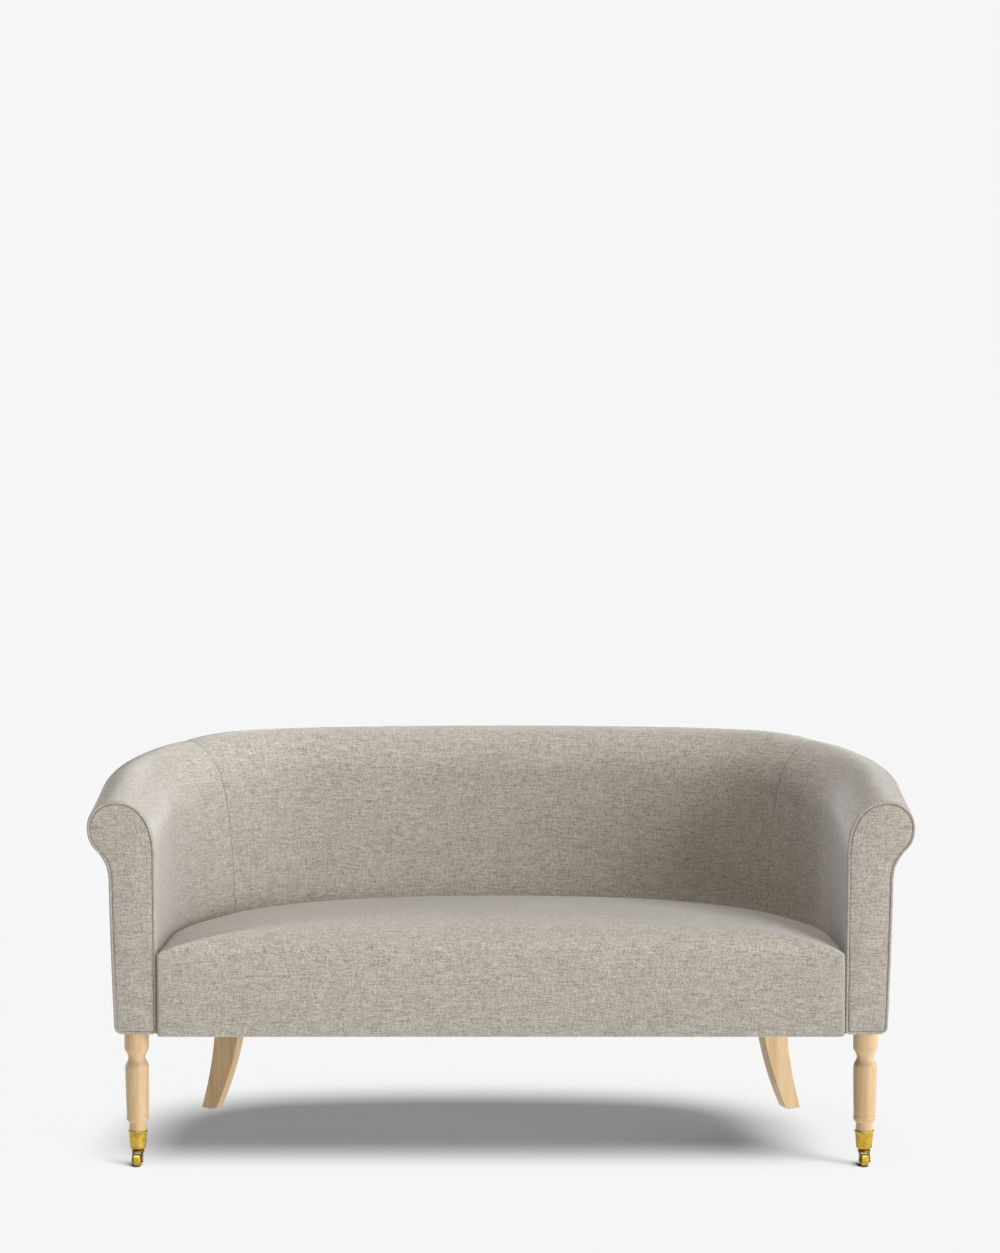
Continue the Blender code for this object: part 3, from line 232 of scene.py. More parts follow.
def wall_values(run):
    """Top height, lean, and outer face offsets of the wall at a distance along it."""
    share = run / HALF_WALL
    rise = 1.0 - (1.0 - min(share / RISE_SHARE, 1.0)) ** RISE_POWER
    lean = math.tan(BACK_RAKE * ease(share / RAKE_SHARE))
    thick = ease(share / THICKEN_SHARE)
    outer_top = ARM_OUTER_TOP + (BACK_OUTER_TOP - ARM_OUTER_TOP) * thick
    outer_base = ARM_OUTER_BASE + (BACK_OUTER_BASE - ARM_OUTER_BASE) * thick
    return ARM_TOP + (BACK_TOP - ARM_TOP) * rise, lean, outer_top, outer_base


def roll_centre(run):
    top, lean, _, _ = wall_values(run)
    height = top - ROLL_RADIUS
    return ROLL_OFFSET + lean * (height - LEAN_START), height


DEPTH_MIDDLE = (INSIDE_DEPTH + roll_centre(HALF_WALL)[0] + ROLL_RADIUS - SEAT_PROUD) / 2


def place(across, depth, height):
    return Vector((across, depth - DEPTH_MIDDLE, height))


def plan_point(run, side, offset):
    """(across, depth) of a point that far out from the wall's inner face."""
    across, depth, heading = plan_at(run)
    return side * (across + offset * math.cos(heading)), depth + offset * math.sin(heading)


def on_wall(run, side, offset, height):
    return place(*plan_point(run, side, offset), height)


def wall_section(run, part, share, inset):
    """(offset, height) of a point on the wall's section, that far in from its surface."""
    top, lean, outer_top, outer_base = wall_values(run)
    centre, centre_z = roll_centre(run)
    shoulder_z = top - SHOULDER_HEIGHT
    if part == "skirt":
        # only at the arm's front: from the middle of its underside round to the inner face
        corner = (CORNER_ROUND - INNER_PROUD, BASE_Z + CORNER_ROUND)
        bend = arc(corner, max(CORNER_ROUND - inset, LEAST_ROUND), -QUARTER, -math.pi, 6)
        return along_line([(outer_base / 2, BASE_Z + inset), *bend, (inset - INNER_PROUD, PAD_BASE)], share)
    if part == "face":
        height = PAD_BASE + (shoulder_z - PAD_BASE) * share
        return inset - INNER_PROUD + lean * max(height - LEAN_START, 0.0), height
    if part == "shoulder":
        face = lean * (shoulder_z - LEAN_START) - INNER_PROUD
        reach = max(math.cos(QUARTER * share), 0.0) ** (2.0 / SHOULDER_POWER)
        climb = math.sin(QUARTER * share) ** (2.0 / SHOULDER_POWER)
        return centre - (centre - face - inset) * reach, shoulder_z + (SHOULDER_HEIGHT - inset) * climb
    if part == "roll":
        angle = QUARTER + (ROLL_END - QUARTER) * share
        widest = QUARTER / (QUARTER - ROLL_END)
        proud = ROLL_PROUD * ease(share / widest)
        if share >= widest:
            proud = ROLL_PROUD + (HOLLOW_PROUD - ROLL_PROUD) * ease((share - widest) / (1.0 - widest))
        radius = ROLL_RADIUS + proud - inset
        return centre + radius * math.cos(angle), centre_z + radius * math.sin(angle)
    radius = ROLL_RADIUS + HOLLOW_PROUD - inset
    start = (centre + radius * math.cos(ROLL_END), centre_z + radius * math.sin(ROLL_END))
    face = outer_top + OUTER_PROUD - inset
    bend = (face, start[1] - (start[0] - face) / math.tan(-ROLL_END))
    end = (face, bend[1] - UNDERCUT)
    if part == "hollow":
        weights = ((1 - share) ** 2, 2 * share * (1 - share), share * share)
        return tuple(sum(w * p[k] for w, p in zip(weights, (start, bend, end))) for k in range(2))
    foot = (outer_base + FOOT_PROUD - inset, BASE_Z + EDGE_ROUND)
    if part == "outer":
        full = 4.0 * OUTER_FULL * share * (1.0 - share)
        return end[0] + (foot[0] - end[0]) * share + full, end[1] + (foot[1] - end[1]) * share
    middle = outer_base + FOOT_PROUD - EDGE_ROUND
    if part == "edge":
        angle = -QUARTER * share
        round_in = EDGE_ROUND - inset
        return middle + round_in * math.cos(angle), BASE_Z + EDGE_ROUND + round_in * math.sin(angle)
    # "under": from the lower edge in to the middle of the arm's underside
    return middle + (outer_base / 2 - middle) * share, BASE_Z + inset


def seam_edge(radius):
    """(distance from a seam, how far the edge has rolled in) towards the seam, and then straight in."""
    line = []
    for step in SEAM_STEPS:
        left = max(1.0 - step, 0.0)
        line.append((step * radius, radius * (1.0 - math.sqrt(1.0 - left * left))))
    return line + [(0.0, radius + SEAM_DEPTH)]


def even(part, count, first=0):
    """(part, share, inset) rows over a part of the section."""
    return [(part, i / count, 0.0) for i in range(first, count)]


ROLL_LENGTH = ROLL_RADIUS * (QUARTER - ROLL_END)
HOLLOW_LENGTH = 0.045
SKIRT_ROWS = even("skirt", 14)
INSIDE_ROWS = even("face", 34) + even("shoulder", 14) + even("roll", 13)
INSIDE_ROWS += [("roll", 1.0 - d / ROLL_LENGTH, curl) for d, curl in seam_edge(SEAM_ROUND)]
OUTSIDE_ROWS = [("hollow", d / HOLLOW_LENGTH, curl) for d, curl in reversed(seam_edge(SEAM_ROUND))]
OUTSIDE_ROWS += even("hollow", 7, 2) + even("outer", 34) + even("edge", 6)
UNDER_ROWS = even("under", 4) + [("under", 1.0, 0.0)]
# steps round an arm's front, for the facing and for its welt
FACING_STEPS = {"skirt": 14, "face": 34, "shoulder": 14, "roll": 16,
                "hollow": 7, "outer": 30, "edge": 6, "under": 4}
WELT_STEPS = {"skirt": 24, "face": 60, "shoulder": 30, "roll": 36,
              "hollow": 14, "outer": 60, "edge": 12, "under": 6}


# Building helpers

def dress(item, finish):
    item.data.materials.clear()
    item.data.materials.append(finish)


def keep_piece(item, name, body, slot, *nodes, fill=None, finish=None):
    """Name and dress a finished piece, let it ride and stand for its solids; its fill is not used."""
    item.name = name
    item.data.name = name
    dress(item, finish or BY_SLOT[slot])
    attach(item, body)
    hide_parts(*nodes)


def make_active(item):
    bpy.ops.object.select_all(action="DESELECT")
    item.select_set(True)
    bpy.context.view_layer.objects.active = item


def apply_modifiers(item):
    make_active(item)
    for modifier in list(item.modifiers):
        bpy.ops.object.modifier_apply(modifier=modifier.name)


def smooth(item):
    for face in item.data.polygons:
        face.use_smooth = True


def cloth_mesh(points, cloth, faces, turn_out=False):
    """Object over points, with cloth coordinates, in metres, on every corner of every face."""
    work = bmesh.new()
    verts = [work.verts.new(p) for p in points]
    for face in faces:
        work.faces.new([verts[i] for i in face])
    if turn_out:
        bmesh.ops.recalc_face_normals(work, faces=work.faces)
    work.verts.index_update()
    layer = work.loops.layers.uv.new("cloth")
    for face in work.faces:
        for loop in face.loops:
            loop[layer].uv = cloth[loop.vert.index]
    bmesh.ops.delete(work, geom=[v for v in work.verts if not v.link_faces], context="VERTS")
    mesh = bpy.data.meshes.new("cloth")
    work.to_mesh(mesh)
    work.free()
    item = bpy.data.objects.new("cloth", mesh)
    bpy.context.scene.collection.objects.link(item)
    return item


def ring_faces(rings, sides):
    """Faces between closed rings of points that are numbered ring by ring."""
    faces = []
    for first in range(0, (rings - 1) * sides, sides):
        for k in range(sides):
            after = (k + 1) % sides
            faces.append((first + k, first + after, first + sides + after, first + sides + k))
    return faces


def thicken(item, thickness=CLOTH):
    """Give a sheet its thickness, inwards. Returns the points of its border and of its inner side."""
    outer = len(item.data.vertices)
    used = {}
    for face in item.data.polygons:
        for key in face.edge_keys:
            used[key] = used.get(key, 0) + 1
    border = {v for key, count in used.items() if count == 1 for v in key}
    solid = item.modifiers.new("thickness", "SOLIDIFY")
    solid.thickness = thickness
    solid.offset = -1.0
    apply_modifiers(item)
    return sorted(border) + list(range(outer, len(item.data.vertices)))


STUFFING = {"quality": 6, "mass": 0.4, "tension_stiffness": 40.0, "compression_stiffness": 40.0,
            "shear_stiffness": 20.0, "bending_stiffness": 4.0, "air_damping": 4.0,
            "use_pressure": True, "uniform_pressure_force": 4.0}
STUFFING_FRAMES = 20


def plump(item, held, reach):
    """Swell a closed padded piece by pressure from inside, with its held points in place."""
    scene = bpy.context.scene
    group = item.vertex_groups.new(name="held")
    group.add(held, 1.0, "REPLACE")
    cloth = item.modifiers.new("stuffing", "CLOTH")
    for label, value in STUFFING.items():
        setattr(cloth.settings, label, value)
    cloth.settings.vertex_group_mass = "held"
    cloth.settings.effector_weights.gravity = 0.0
    cloth.collision_settings.use_collision = False
    cloth.point_cache.frame_start = 1
    cloth.point_cache.frame_end = STUFFING_FRAMES
    for number in range(1, STUFFING_FRAMES + 1):
        scene.frame_set(number)
    swollen = item.evaluated_get(bpy.context.evaluated_depsgraph_get())
    places = [v.co.copy() for v in swollen.data.vertices]
    item.modifiers.remove(cloth)
    item.vertex_groups.remove(group)
    scene.frame_set(1)
    for vertex, now in zip(item.data.vertices, places):
        shift = now - vertex.co
        vertex.co += shift * (reach / (reach + shift.length))


def subdivide(item):
    modifier = item.modifiers.new("subdivision", "SUBSURF")
    modifier.levels = 1
    modifier.render_levels = 1
    apply_modifiers(item)
    smooth(item)


# Covers of the wall

def with_lengths(columns):
    """Add the length of cloth up to each (run, inset) column."""
    measured = []
    total = 0.0
    for column, before in zip(columns, columns[:1] + columns):
        total += math.dist(column, before)
        measured.append((*column, total))
    return measured


def arm_columns(side):
    """(run, inset, cloth length, side) of an arm cover's columns, from the welt back."""
    columns = list(FRONT_TUCK)
    columns += arc((FRONT_EDGE + FRONT_WRAP, FRONT_WRAP), FRONT_WRAP, -math.pi, -QUARTER, 4)
    columns += [(run, 0.0) for run in spread(FRONT_EDGE + FRONT_WRAP, POST_REACH, FRONT_STEP)[1:]]
    columns += [(run, 0.0) for run in spread(POST_REACH, SEAM_RUN - SEAM_CLEAR, ARM_STEP)[1:]]
    columns += [(SEAM_RUN - d, curl) for d, curl in seam_edge(CORNER_SEAM_ROUND)]
    return [(*column, side) for column in with_lengths(columns)]


def back_columns():
    """The same for the back's covers, from right to left."""
    half = [(SEAM_RUN + d, curl) for d, curl in reversed(seam_edge(CORNER_SEAM_ROUND))]
    half += [(run, 0.0) for run in spread(SEAM_RUN + SEAM_CLEAR, HALF_WALL, BACK_STEP)]
    measured = with_lengths(half)
    whole = 2 * measured[-1][2]
    columns = [(*column, 1) for column in measured]
    return columns + [(run, inset, whole - length, -1) for run, inset, length in reversed(measured[:-1])]


def slanted(run, part, share):
    """Run of a point on an inside cover, whose corner seam slants forward up the wall."""
    height = wall_section(run, part, 0.0 if part == "roll" else share, 0.0)[1]
    climb = min(max((height - SEAM_LOW) / (SEAM_HIGH - SEAM_LOW), 0.0), 1.0)
    nearness = run / SEAM_RUN if run < SEAM_RUN else (HALF_WALL - run) / (HALF_WALL - SEAM_RUN)
    return run + SEAM_SHIFT * (1.0 - climb ** 3) * nearness ** 2


def wall_panel(columns, rows, turned, front_rows, padded=False):
    """Cover over columns and rows; turned swaps its sides, front rows end at the scroll board."""
    points, cloth, faces = [], [], []
    for run, inset, along, side in columns:
        if padded:
            inset += SEAM_VALLEY * math.exp(-abs(run - SEAM_RUN) / SEAM_VALLEY_REACH)
        length, before = 0.0, None
        for part, share, extra in rows:
            spot = slanted(run, part, share) if padded else run
            flat = wall_section(spot, part, share, 0.0)
            length += math.dist(flat, before or flat)
            before = flat
            points.append(on_wall(spot, side, *wall_section(spot, part, share, max(inset, extra))))
            cloth.append((along, length))
    tall = len(rows)
    for i, (first, second) in enumerate(zip(columns, columns[1:])):
        at_front = max(first[0], second[0]) < POST_REACH + 0.001
        for j in range(tall - 1):
            if at_front or j not in front_rows:
                corner = i * tall + j
                face = (corner, corner + tall, corner + tall + 1, corner + 1)
                faces.append(face[::-1] if turned else face)
    return cloth_mesh(points, cloth, faces)


def make_covers(prefix, part, columns, turned, skirt, under):
    """Inside and outside cover of an arm or of the back."""
    inside = wall_panel(columns, skirt + INSIDE_ROWS, turned, range(len(skirt)), True)
    plump(inside, thicken(inside), COVER_SWELL)
    subdivide(inside)
    keep_piece(inside, f"{prefix}inside_{part}", "frame", "cover_cloth",
               f"{prefix}inside_{part}_cover", f"{prefix}{part}_pad", fill=0.95)
    rows = OUTSIDE_ROWS + under
    outside = wall_panel(columns, rows, turned, range(len(OUTSIDE_ROWS) + 1, len(rows)))
    thicken(outside)
    subdivide(outside)
    keep_piece(outside, f"{prefix}outside_{part}", "frame", "cover_cloth",
               f"{prefix}outside_{part}_cover", fill=1.0)


# Arm fronts

def front_outline(steps, inset):
    """Outline of an arm's front as (offset, height), from the middle of its underside up its inner face."""
    return [wall_section(0.0, part, share, inset)
            for part, count in steps.items() for _, share, _ in even(part, count)]


def to_outline(point, outline):
    """Distance from a point to a closed outline, negative outside it."""
    nearest = 1.0
    inside = False
    x, z = point
    for (x0, z0), (x1, z1) in zip(outline, outline[1:] + outline[:1]):
        length = (x1 - x0) ** 2 + (z1 - z0) ** 2
        share = 0.0
        if length:
            share = min(max(((x - x0) * (x1 - x0) + (z - z0) * (z1 - z0)) / length, 0.0), 1.0)
        nearest = min(nearest, math.hypot(x - x0 - (x1 - x0) * share, z - z0 - (z1 - z0) * share))
        if (z0 > z) != (z1 > z) and x < x0 + (x1 - x0) * (z - z0) / (z1 - z0):
            inside = not inside
    return nearest if inside else -nearest


def inner_grid(outline, inner, step, margin):
    """Points of a square grid over an outline that lie that far within an inner one."""
    across, up = ([p[k] for p in outline] for k in range(2))
    grid = [(u, v) for u in spread(min(across), max(across), step) for v in spread(min(up), max(up), step)]
    return [p for p in grid if to_outline(p, inner) > margin]


def triangulate(points, loops):
    """Points, triangles and origins over plan points; each loop is (first point, count), its sides kept."""
    edges = [(first + i, first + (i + 1) % count) for first, count in loops for i in range(count)]
    made = delaunay_2d_cdt([Vector(p) for p in points], edges, [], 1, 1e-6)
    return made[0], made[2], made[3]


def make_arm_front(word, side):
    """Facing panel, a little domed, and the thin welt sewn round it."""
    rings = [front_outline(FACING_STEPS, FACING_INSET + inset) for inset, _ in FACING_RINGS]
    count = len(rings[0])
    flat = [p for ring in rings for p in ring]
    on_rings = len(flat)
    flat += inner_grid(rings[0], rings[-1], FACING_STEP, FACING_CLEAR)
    cloth, faces, origins = triangulate(flat, [(0, count)])
    points = []
    for point, origin in zip(cloth, origins):
        if origin[0] < on_rings:
            depth = FACING_RINGS[origin[0] // count][1]
        else:
            reach = to_outline(point, rings[-1])
            depth = FACING_RINGS[-1][1] - FACING_DOME * ease(reach / FACING_DOME_REACH)
        points.append(on_wall(0.0, side, *point) + Vector((0.0, depth, 0.0)))
    facing = cloth_mesh(points, cloth, [face[::side] for face in faces])
    thicken(facing, FACING_CLOTH)
    smooth(facing)
    keep_piece(facing, word + "_facing", "frame", "cover_cloth", word + "_arm_facing", fill=1.0)

    line = front_outline(WELT_STEPS, WELT_INSET) + [wall_section(0.0, "under", 1.0, WELT_INSET)]
    welt = bias_cord([on_wall(0.0, side, *p) + Vector((0.0, WELT_BACK, 0.0)) for p in line])
    keep_piece(welt, word + "_welt", "frame", "cover_cloth", word + "_arm_welt", fill=1.0)


def bias_cord(path):
    """Round cord in cloth cut on the bias, along a path that lies in an upright plane across."""
    points, cloth = [], []
    along = 0.0
    for before, point, after in zip(path[:1] + path, path, path[1:] + path[-1:]):
        along += (point - before).length
        tangent = (after - before).normalized()
        across = Vector((-tangent.z, 0.0, tangent.x))
        for k in range(WELT_SIDES):
            angle = 2 * math.pi * k / WELT_SIDES
            out = across * math.cos(angle) + Vector((0.0, math.sin(angle), 0.0))
            points.append(point + out * WELT_RADIUS)
            cloth.append((along + WELT_RADIUS * angle, along - WELT_RADIUS * angle))
    ends = [list(range(WELT_SIDES)), list(range(len(points) - WELT_SIDES, len(points)))]
    item = cloth_mesh(points, cloth, ring_faces(len(path), WELT_SIDES) + ends, turn_out=True)
    smooth(item)
    return item


# Seat

def seat_outline(inset):
    """Plan of the seat, that far in: up the right wall, across the back, down the left, along the front."""
    clear = SEAT_GAP + INNER_PROUD + inset
    front = inset - SEAT_PROUD
    first = (front + SEAT_CORNER + clear * math.sin(ARM_TOE_IN)) / math.cos(ARM_TOE_IN)

    def beside(start, end, steps):
        return [plan_point(run, 1, -clear) for run in evenly(start, end, steps)]

    half_back = SEAT_ACROSS_STEPS // 2
    wall = beside(first, SEAM_RUN, SEAT_SIDE_STEPS - SEAT_CORNER_STEPS)
    back = beside(SEAM_RUN, HALF_WALL, half_back)
    centre = (wall[0][0] - SEAT_CORNER, front + SEAT_CORNER)
    right = arc(centre, SEAT_CORNER, -QUARTER / 2, 0.0, SEAT_CORNER_STEPS)[:-1] + wall[:-1]
    near = arc(centre, SEAT_CORNER, -QUARTER / 2, -QUARTER, SEAT_CORNER_STEPS)[:-1]
    flat_steps = half_back - SEAT_CORNER_STEPS
    near += [(centre[0] * (1 - i / flat_steps), front) for i in range(flat_steps + 1)]
    left = back[-2::-1] + right[:0:-1] + near
    return right + back + [(-x, d) for x, d in left] + near[-2:0:-1]


def seat_edge(across, depth):
    """Height at which the seat's upright sides turn into its crown."""
    back = max(depth, 0.0) / INSIDE_DEPTH
    lift = SEAT_FRONT_LIFT * (1.0 - (across / ARM_SPREAD) ** 2)
    return SEAT_SIDE + (SEAT_BACK - SEAT_SIDE) * back * back + lift


def seat_rings(outer, foot, middle):
    """Rings of the seat's sides, from the top of its rounding down to the turned-in lower edge."""
    rings = []
    for i in range(ROUND_STEPS, -1, -1):
        angle = SEAT_NOSE_TURN * i / ROUND_STEPS
        lift = Vector((0.0, 0.0, SEAT_CROWN * math.sin(angle)))
        rings.append([middle + (p - middle) * math.cos(angle) + lift for p in foot])
    front_hem = SEAT_FRONT_BASE + SEAT_HEM
    hem = [front_hem if d < APRON_RETURN else SEAT_TUCK for _, d in outer]
    wall_foot = rings[-1]
    for share in evenly(0.0, 1.0, SEAT_WALL_STEPS)[1:]:
        rings.append([Vector((p.x, p.y, p.z + (low - p.z) * share)) for p, low in zip(wall_foot, hem)])
    turns = [(SEAT_HEM * (1 - math.cos(QUARTER * turn)), SEAT_HEM * math.sin(QUARTER * turn))
             for turn in SEAT_HEM_TURNS]
    for inset, drop in turns + [(SEAT_TURN_IN, SEAT_HEM)]:
        rings.append([Vector((*p, low - drop)) for p, low in zip(seat_outline(inset), hem)])
    return rings


def make_seat():
    """One tight piece over springs and foam: domed top, round front, apron down the front."""
    outer = seat_outline(0.0)
    count = len(outer)
    foot = [Vector((x, d, seat_edge(x, d))) for x, d in outer]
    middle = Vector((0.0, SEAT_CROWN_DEPTH, sum(p.z for p in foot) / count))
    rings = seat_rings(outer, foot, middle)
    spokes = [(p - middle, q - middle) for p, q in zip(foot, foot[1:] + foot[:1])]
    points, cloth = [], []

    def crown(point):
        """Height of the dome at a plan point, from how far out it lies towards the crown's foot."""
        x, y = point.x - middle.x, point.y - middle.y
        for p, q in spokes:
            before = p.x * y - p.y * x
            after = x * q.y - y * q.x
            if before >= 0.0 and after >= 0.0 and before + after > 1e-9:
                ahead = (p * after + q * before) / (before + after)
                share = min(math.hypot(x, y) / math.hypot(ahead.x, ahead.y), 1.0)
                return middle.z + ahead.z * share + SEAT_CROWN * math.sqrt(1.0 - share * share)
        return middle.z + SEAT_CROWN

    def under(point):
        return max(point.z, SEAT_TUCK - SEAT_HEM)

    def fill_ring(ring, first, level):
        """Faces of a grid over a ring of four sides, each in step with the one across."""
        sides, across = SEAT_SIDE_STEPS, SEAT_ACROSS_STEPS
        right, back = range(sides + 1), range(sides, sides + across + 1)
        left = [count - across - j for j in range(sides + 1)]
        front = [-i % count for i in range(across + 1)]
        grid = []
        for i, s in enumerate(evenly(0.0, 1.0, across)):
            column = []
            for j, t in enumerate(evenly(0.0, 1.0, sides)):
                edge = {0: right[j], across: left[j]}.get(i, {0: front[i], sides: back[i]}.get(j))
                if edge is None:
                    nearer = ring[right[0]] * (1 - s) + ring[left[0]] * s
                    farther = ring[right[-1]] * (1 - s) + ring[left[-1]] * s
                    point = (ring[front[i]] * (1 - t) + ring[back[i]] * t
                             + ring[right[j]] * (1 - s) + ring[left[j]] * s)
                    point -= nearer * (1 - t) + farther * t
                    column.append(len(points))
                    points.append(place(point.x, point.y, level(point)))
                    cloth.append((point.x, point.y))
                else:
                    column.append(first + edge)
            grid.append(column)
        return [(a[j], b[j], b[j + 1], a[j + 1]) for a, b in zip(grid, grid[1:]) for j in range(sides)]

    for number, ring in enumerate(rings):
        for k, point in enumerate(ring):
            where = (point.x, point.y)
            if number:
                last = rings[number - 1][k]
                out = Vector((point.x - last.x, point.y - last.y))
                if number > ROUND_STEPS:
                    ahead, behind = outer[(k + 1) % count], outer[k - 1]
                    out = Vector((ahead[1] - behind[1], behind[0] - ahead[0]))
                out.normalize()
                run = (point - last).length
                before = cloth[(number - 1) * count + k]
                where = (before[0] + out.x * run, before[1] + out.y * run)
            points.append(place(*point))
            cloth.append(where)
    on_rings = len(points)
    faces = ring_faces(len(rings), count)
    faces += fill_ring(rings[0], 0, crown) + fill_ring(rings[-1], on_rings - count, under)

    # held: the lower edge, and what lies low beside the arms and back
    held = set(range((ROUND_STEPS + SEAT_WALL_STEPS) * count, on_rings))
    rim = min(p.z for p in rings[0]) - SEAT_RIM_DROP
    for number, point in enumerate(points):
        level = rim if number < on_rings else SEAT_TUCK + 0.001
        if point.z < level and point.y > -DEPTH_MIDDLE:
            held.add(number)
    seat = cloth_mesh(points, cloth, faces, turn_out=True)
    plump(seat, sorted(held), SEAT_SWELL)
    subdivide(seat)
    keep_piece(seat, "seat", "frame", "cover_cloth", "seat_cover", "seat_foam", "front_edge_pad", fill=0.9)


# Cloth under the seat

DUST_TOP = 0.2542
DUST_CLOTH = 0.0008
DUST_MARGIN = 0.010
DUST_START = 0.015                  # behind the arm fronts
DUST_STEP, DUST_CLEAR = 0.02, 0.008
DUST_SAG = 0.004
SAG_START, SAG_REACH = 0.05, 0.14   # in from its edge
LEG_CLEAR = 0.0015


def make_dust_cover():
    """Black cloth tacked under the frame, sagging a little between the rails, cut round the legs."""
    runs = [(run, 1) for run in spread(DUST_START, HALF_WALL, DUST_STEP)]
    runs += [(run, -1) for run, _ in runs[-2::-1]]
    outline = [plan_point(run, side, wall_values(run)[3] - DUST_MARGIN) for run, side in runs]
    front = outline[0][1]
    outline += [(x, front) for x in spread(outline[-1][0], outline[0][0], DUST_STEP)[1:-1]]
    cuts = [leg_cut(word) for word, _ in SIDES] + [foot_cut(side) for _, side in SIDES]
    flat = outline + inner_grid(outline, outline, DUST_STEP, DUST_CLEAR)
    loops = [(0, len(outline))]
    for ring in cuts:
        loops.append((len(flat), len(ring)))
        flat += ring
    cloth, triangles, _ = triangulate(flat, loops)
    points, faces = [], []
    for point in cloth:
        sag = DUST_SAG * ease((to_outline(point, outline) - SAG_START) / SAG_REACH)
        points.append(place(*point, DUST_TOP - sag))
    for face in triangles:
        middle = sum((cloth[i] for i in face), Vector((0.0, 0.0))) / len(face)
        if all(to_outline(middle, ring) <= 0 for ring in cuts):
            faces.append(face[::-1])
    dust = cloth_mesh(points, cloth, faces)
    thicken(dust, DUST_CLOTH)
    smooth(dust)
    keep_piece(dust, "black_dust_cloth", "frame", "black_cloth", "dust_cover")


def leg_axis(word):
    """Where a front leg's axis meets the floor."""
    low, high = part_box(word + "_front_leg")
    return Vector(((low[0] + high[0]) / 2, (low[1] + high[1]) / 2, 0.0))


def leg_cut(word):
    """Hole round a front leg, as (across, depth) points."""
    low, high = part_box(word + "_front_leg")
    axis = leg_axis(word)
    radius = (high[0] - low[0]) / 2 + LEG_CLEAR
    return arc((axis.x, axis.y + DEPTH_MIDDLE), radius, 0.0, 2 * math.pi, 24)[:-1]


def foot_cut(side):
    """Hole round the square top of a rear leg."""
    out = Vector((side * math.cos(SABRE_ANGLE), math.sin(SABRE_ANGLE), 0.0))
    sideways = Vector((-out.y, out.x, 0.0))
    _, depth, width = sabre_section(LEG_TOP)
    corners = [sabre_top(side) + out * (depth / 2 + LEG_CLEAR) * a + sideways * (width / 2 + LEG_CLEAR) * b
               for a, b in ((1, 1), (1, -1), (-1, -1), (-1, 1))]
    return [(p.x, p.y + DEPTH_MIDDLE) for p in corners]


# Legs, as (radius, height) points where they are turned

LEG_TOP = 0.2544
CUP_TOP = 0.0663
CUP_BASE = 0.0317
LEG_SEGMENTS = 64
LEG_BLOCK = ((0.0226, LEG_TOP), (0.0226, 0.2222), (0.0225, 0.2208), (0.0221, 0.2196), (0.0205, 0.2168),
             (0.0186, 0.2134), (0.0170, 0.2102), (0.0160, 0.2072))
LEG_NECK, LEG_BARREL, LEG_ANKLE = (0.0158, 0.2044), (0.0219, 0.1864), (0.0200, 0.0958)
LEG_SWELL = 0.0003
LEG_BEAD, BEAD_PROUD, BEAD_HALF = (0.0200, 0.0908), 0.0009, 0.0040
BEAD_QUIRKS = ((0.0198, 0.0951), (0.0198, 0.0864))
LEG_SPIGOT = (0.0158, 0.0806)
SPIGOT_END = ((0.0158, CUP_TOP + 0.0002), (0.0145, CUP_TOP + 0.0002), (0.0125, 0.0400))
REAR_LEG_HEADING = math.radians(54.6)
REAR_LEG_OFFSET = 0.0718
SABRE_ANGLE = math.radians(20.0)
SABRE_SPLAY = 0.0471
SABRE_PLUMB = 0.0107
SABRE_SWELL = 1.6
SABRE_FOOT = 0.0312
SABRE_TOP_DEPTH = 0.0570
SABRE_TOP_WIDTH = 0.0325
SABRE_SOLE = 0.0028
SABRE_ARRIS = 0.0016
SABRE_STEPS = 20


def sabre_section(height):
    """(outward shift, depth, width) of a rear leg at a height."""
    plumb = BASE_Z - SABRE_PLUMB
    kick = SABRE_SPLAY * (max(plumb - height, 0.0) / plumb) ** 2
    share = height / LEG_TOP
    depth = SABRE_FOOT + (SABRE_TOP_DEPTH - SABRE_FOOT) * (1 - (1 - share) ** SABRE_SWELL)
    return kick, depth, SABRE_FOOT + (SABRE_TOP_WIDTH - SABRE_FOOT) * share


def sabre_top(side):
    run = ARM_STRAIGHT + CORNER_RADIUS * (REAR_LEG_HEADING - ARM_TOE_IN)
    return on_wall(run, side, REAR_LEG_OFFSET, LEG_TOP)


def draw_step(step, scale, centre):
    """Draw the chosen face out by a step and change its size about a centre."""
    bpy.ops.mesh.extrude_region_move(TRANSFORM_OT_translate={"value": step})
    bpy.ops.transform.resize(value=scale, center_override=centre)


def draw_out(profile, segments=LEG_SEGMENTS):
    """A round face drawn out ring by ring along Z through (radius, height) points, left in edit mode."""
    radius, height = profile[0]
    bpy.ops.mesh.primitive_circle_add(vertices=segments, radius=radius, fill_type="NGON",
                                      location=(0.0, 0.0, height), enter_editmode=True)
    bpy.ops.mesh.select_all(action="SELECT")
    for next_radius, next_height in profile[1:]:
        scale = next_radius / radius
        draw_step((0.0, 0.0, next_height - height), (scale, scale, 1.0), (0.0, 0.0, next_height))
        radius, height = next_radius, next_height


def leave_edit():
    """Merge and turn the faces out, then go back to object mode with smooth shading."""
    bpy.ops.mesh.select_all(action="SELECT")
    bpy.ops.mesh.remove_doubles(threshold=0.000005)
    bpy.ops.mesh.normals_make_consistent(inside=False)
    bpy.ops.object.mode_set(mode="OBJECT")
    bpy.ops.object.shade_smooth_by_angle(angle=SMOOTH_ANGLE)
    return bpy.context.object


def settle(item, location=(0.0, 0.0, 0.0), turn=(0.0, 0.0, 0.0)):
    """Put a piece that was modelled about the origin in its place, in its mesh."""
    make_active(item)
    bpy.ops.object.transform_apply(location=True, rotation=True, scale=True)
    item.rotation_euler = turn
    item.location = location
    bpy.ops.object.transform_apply(location=True, rotation=True, scale=True)


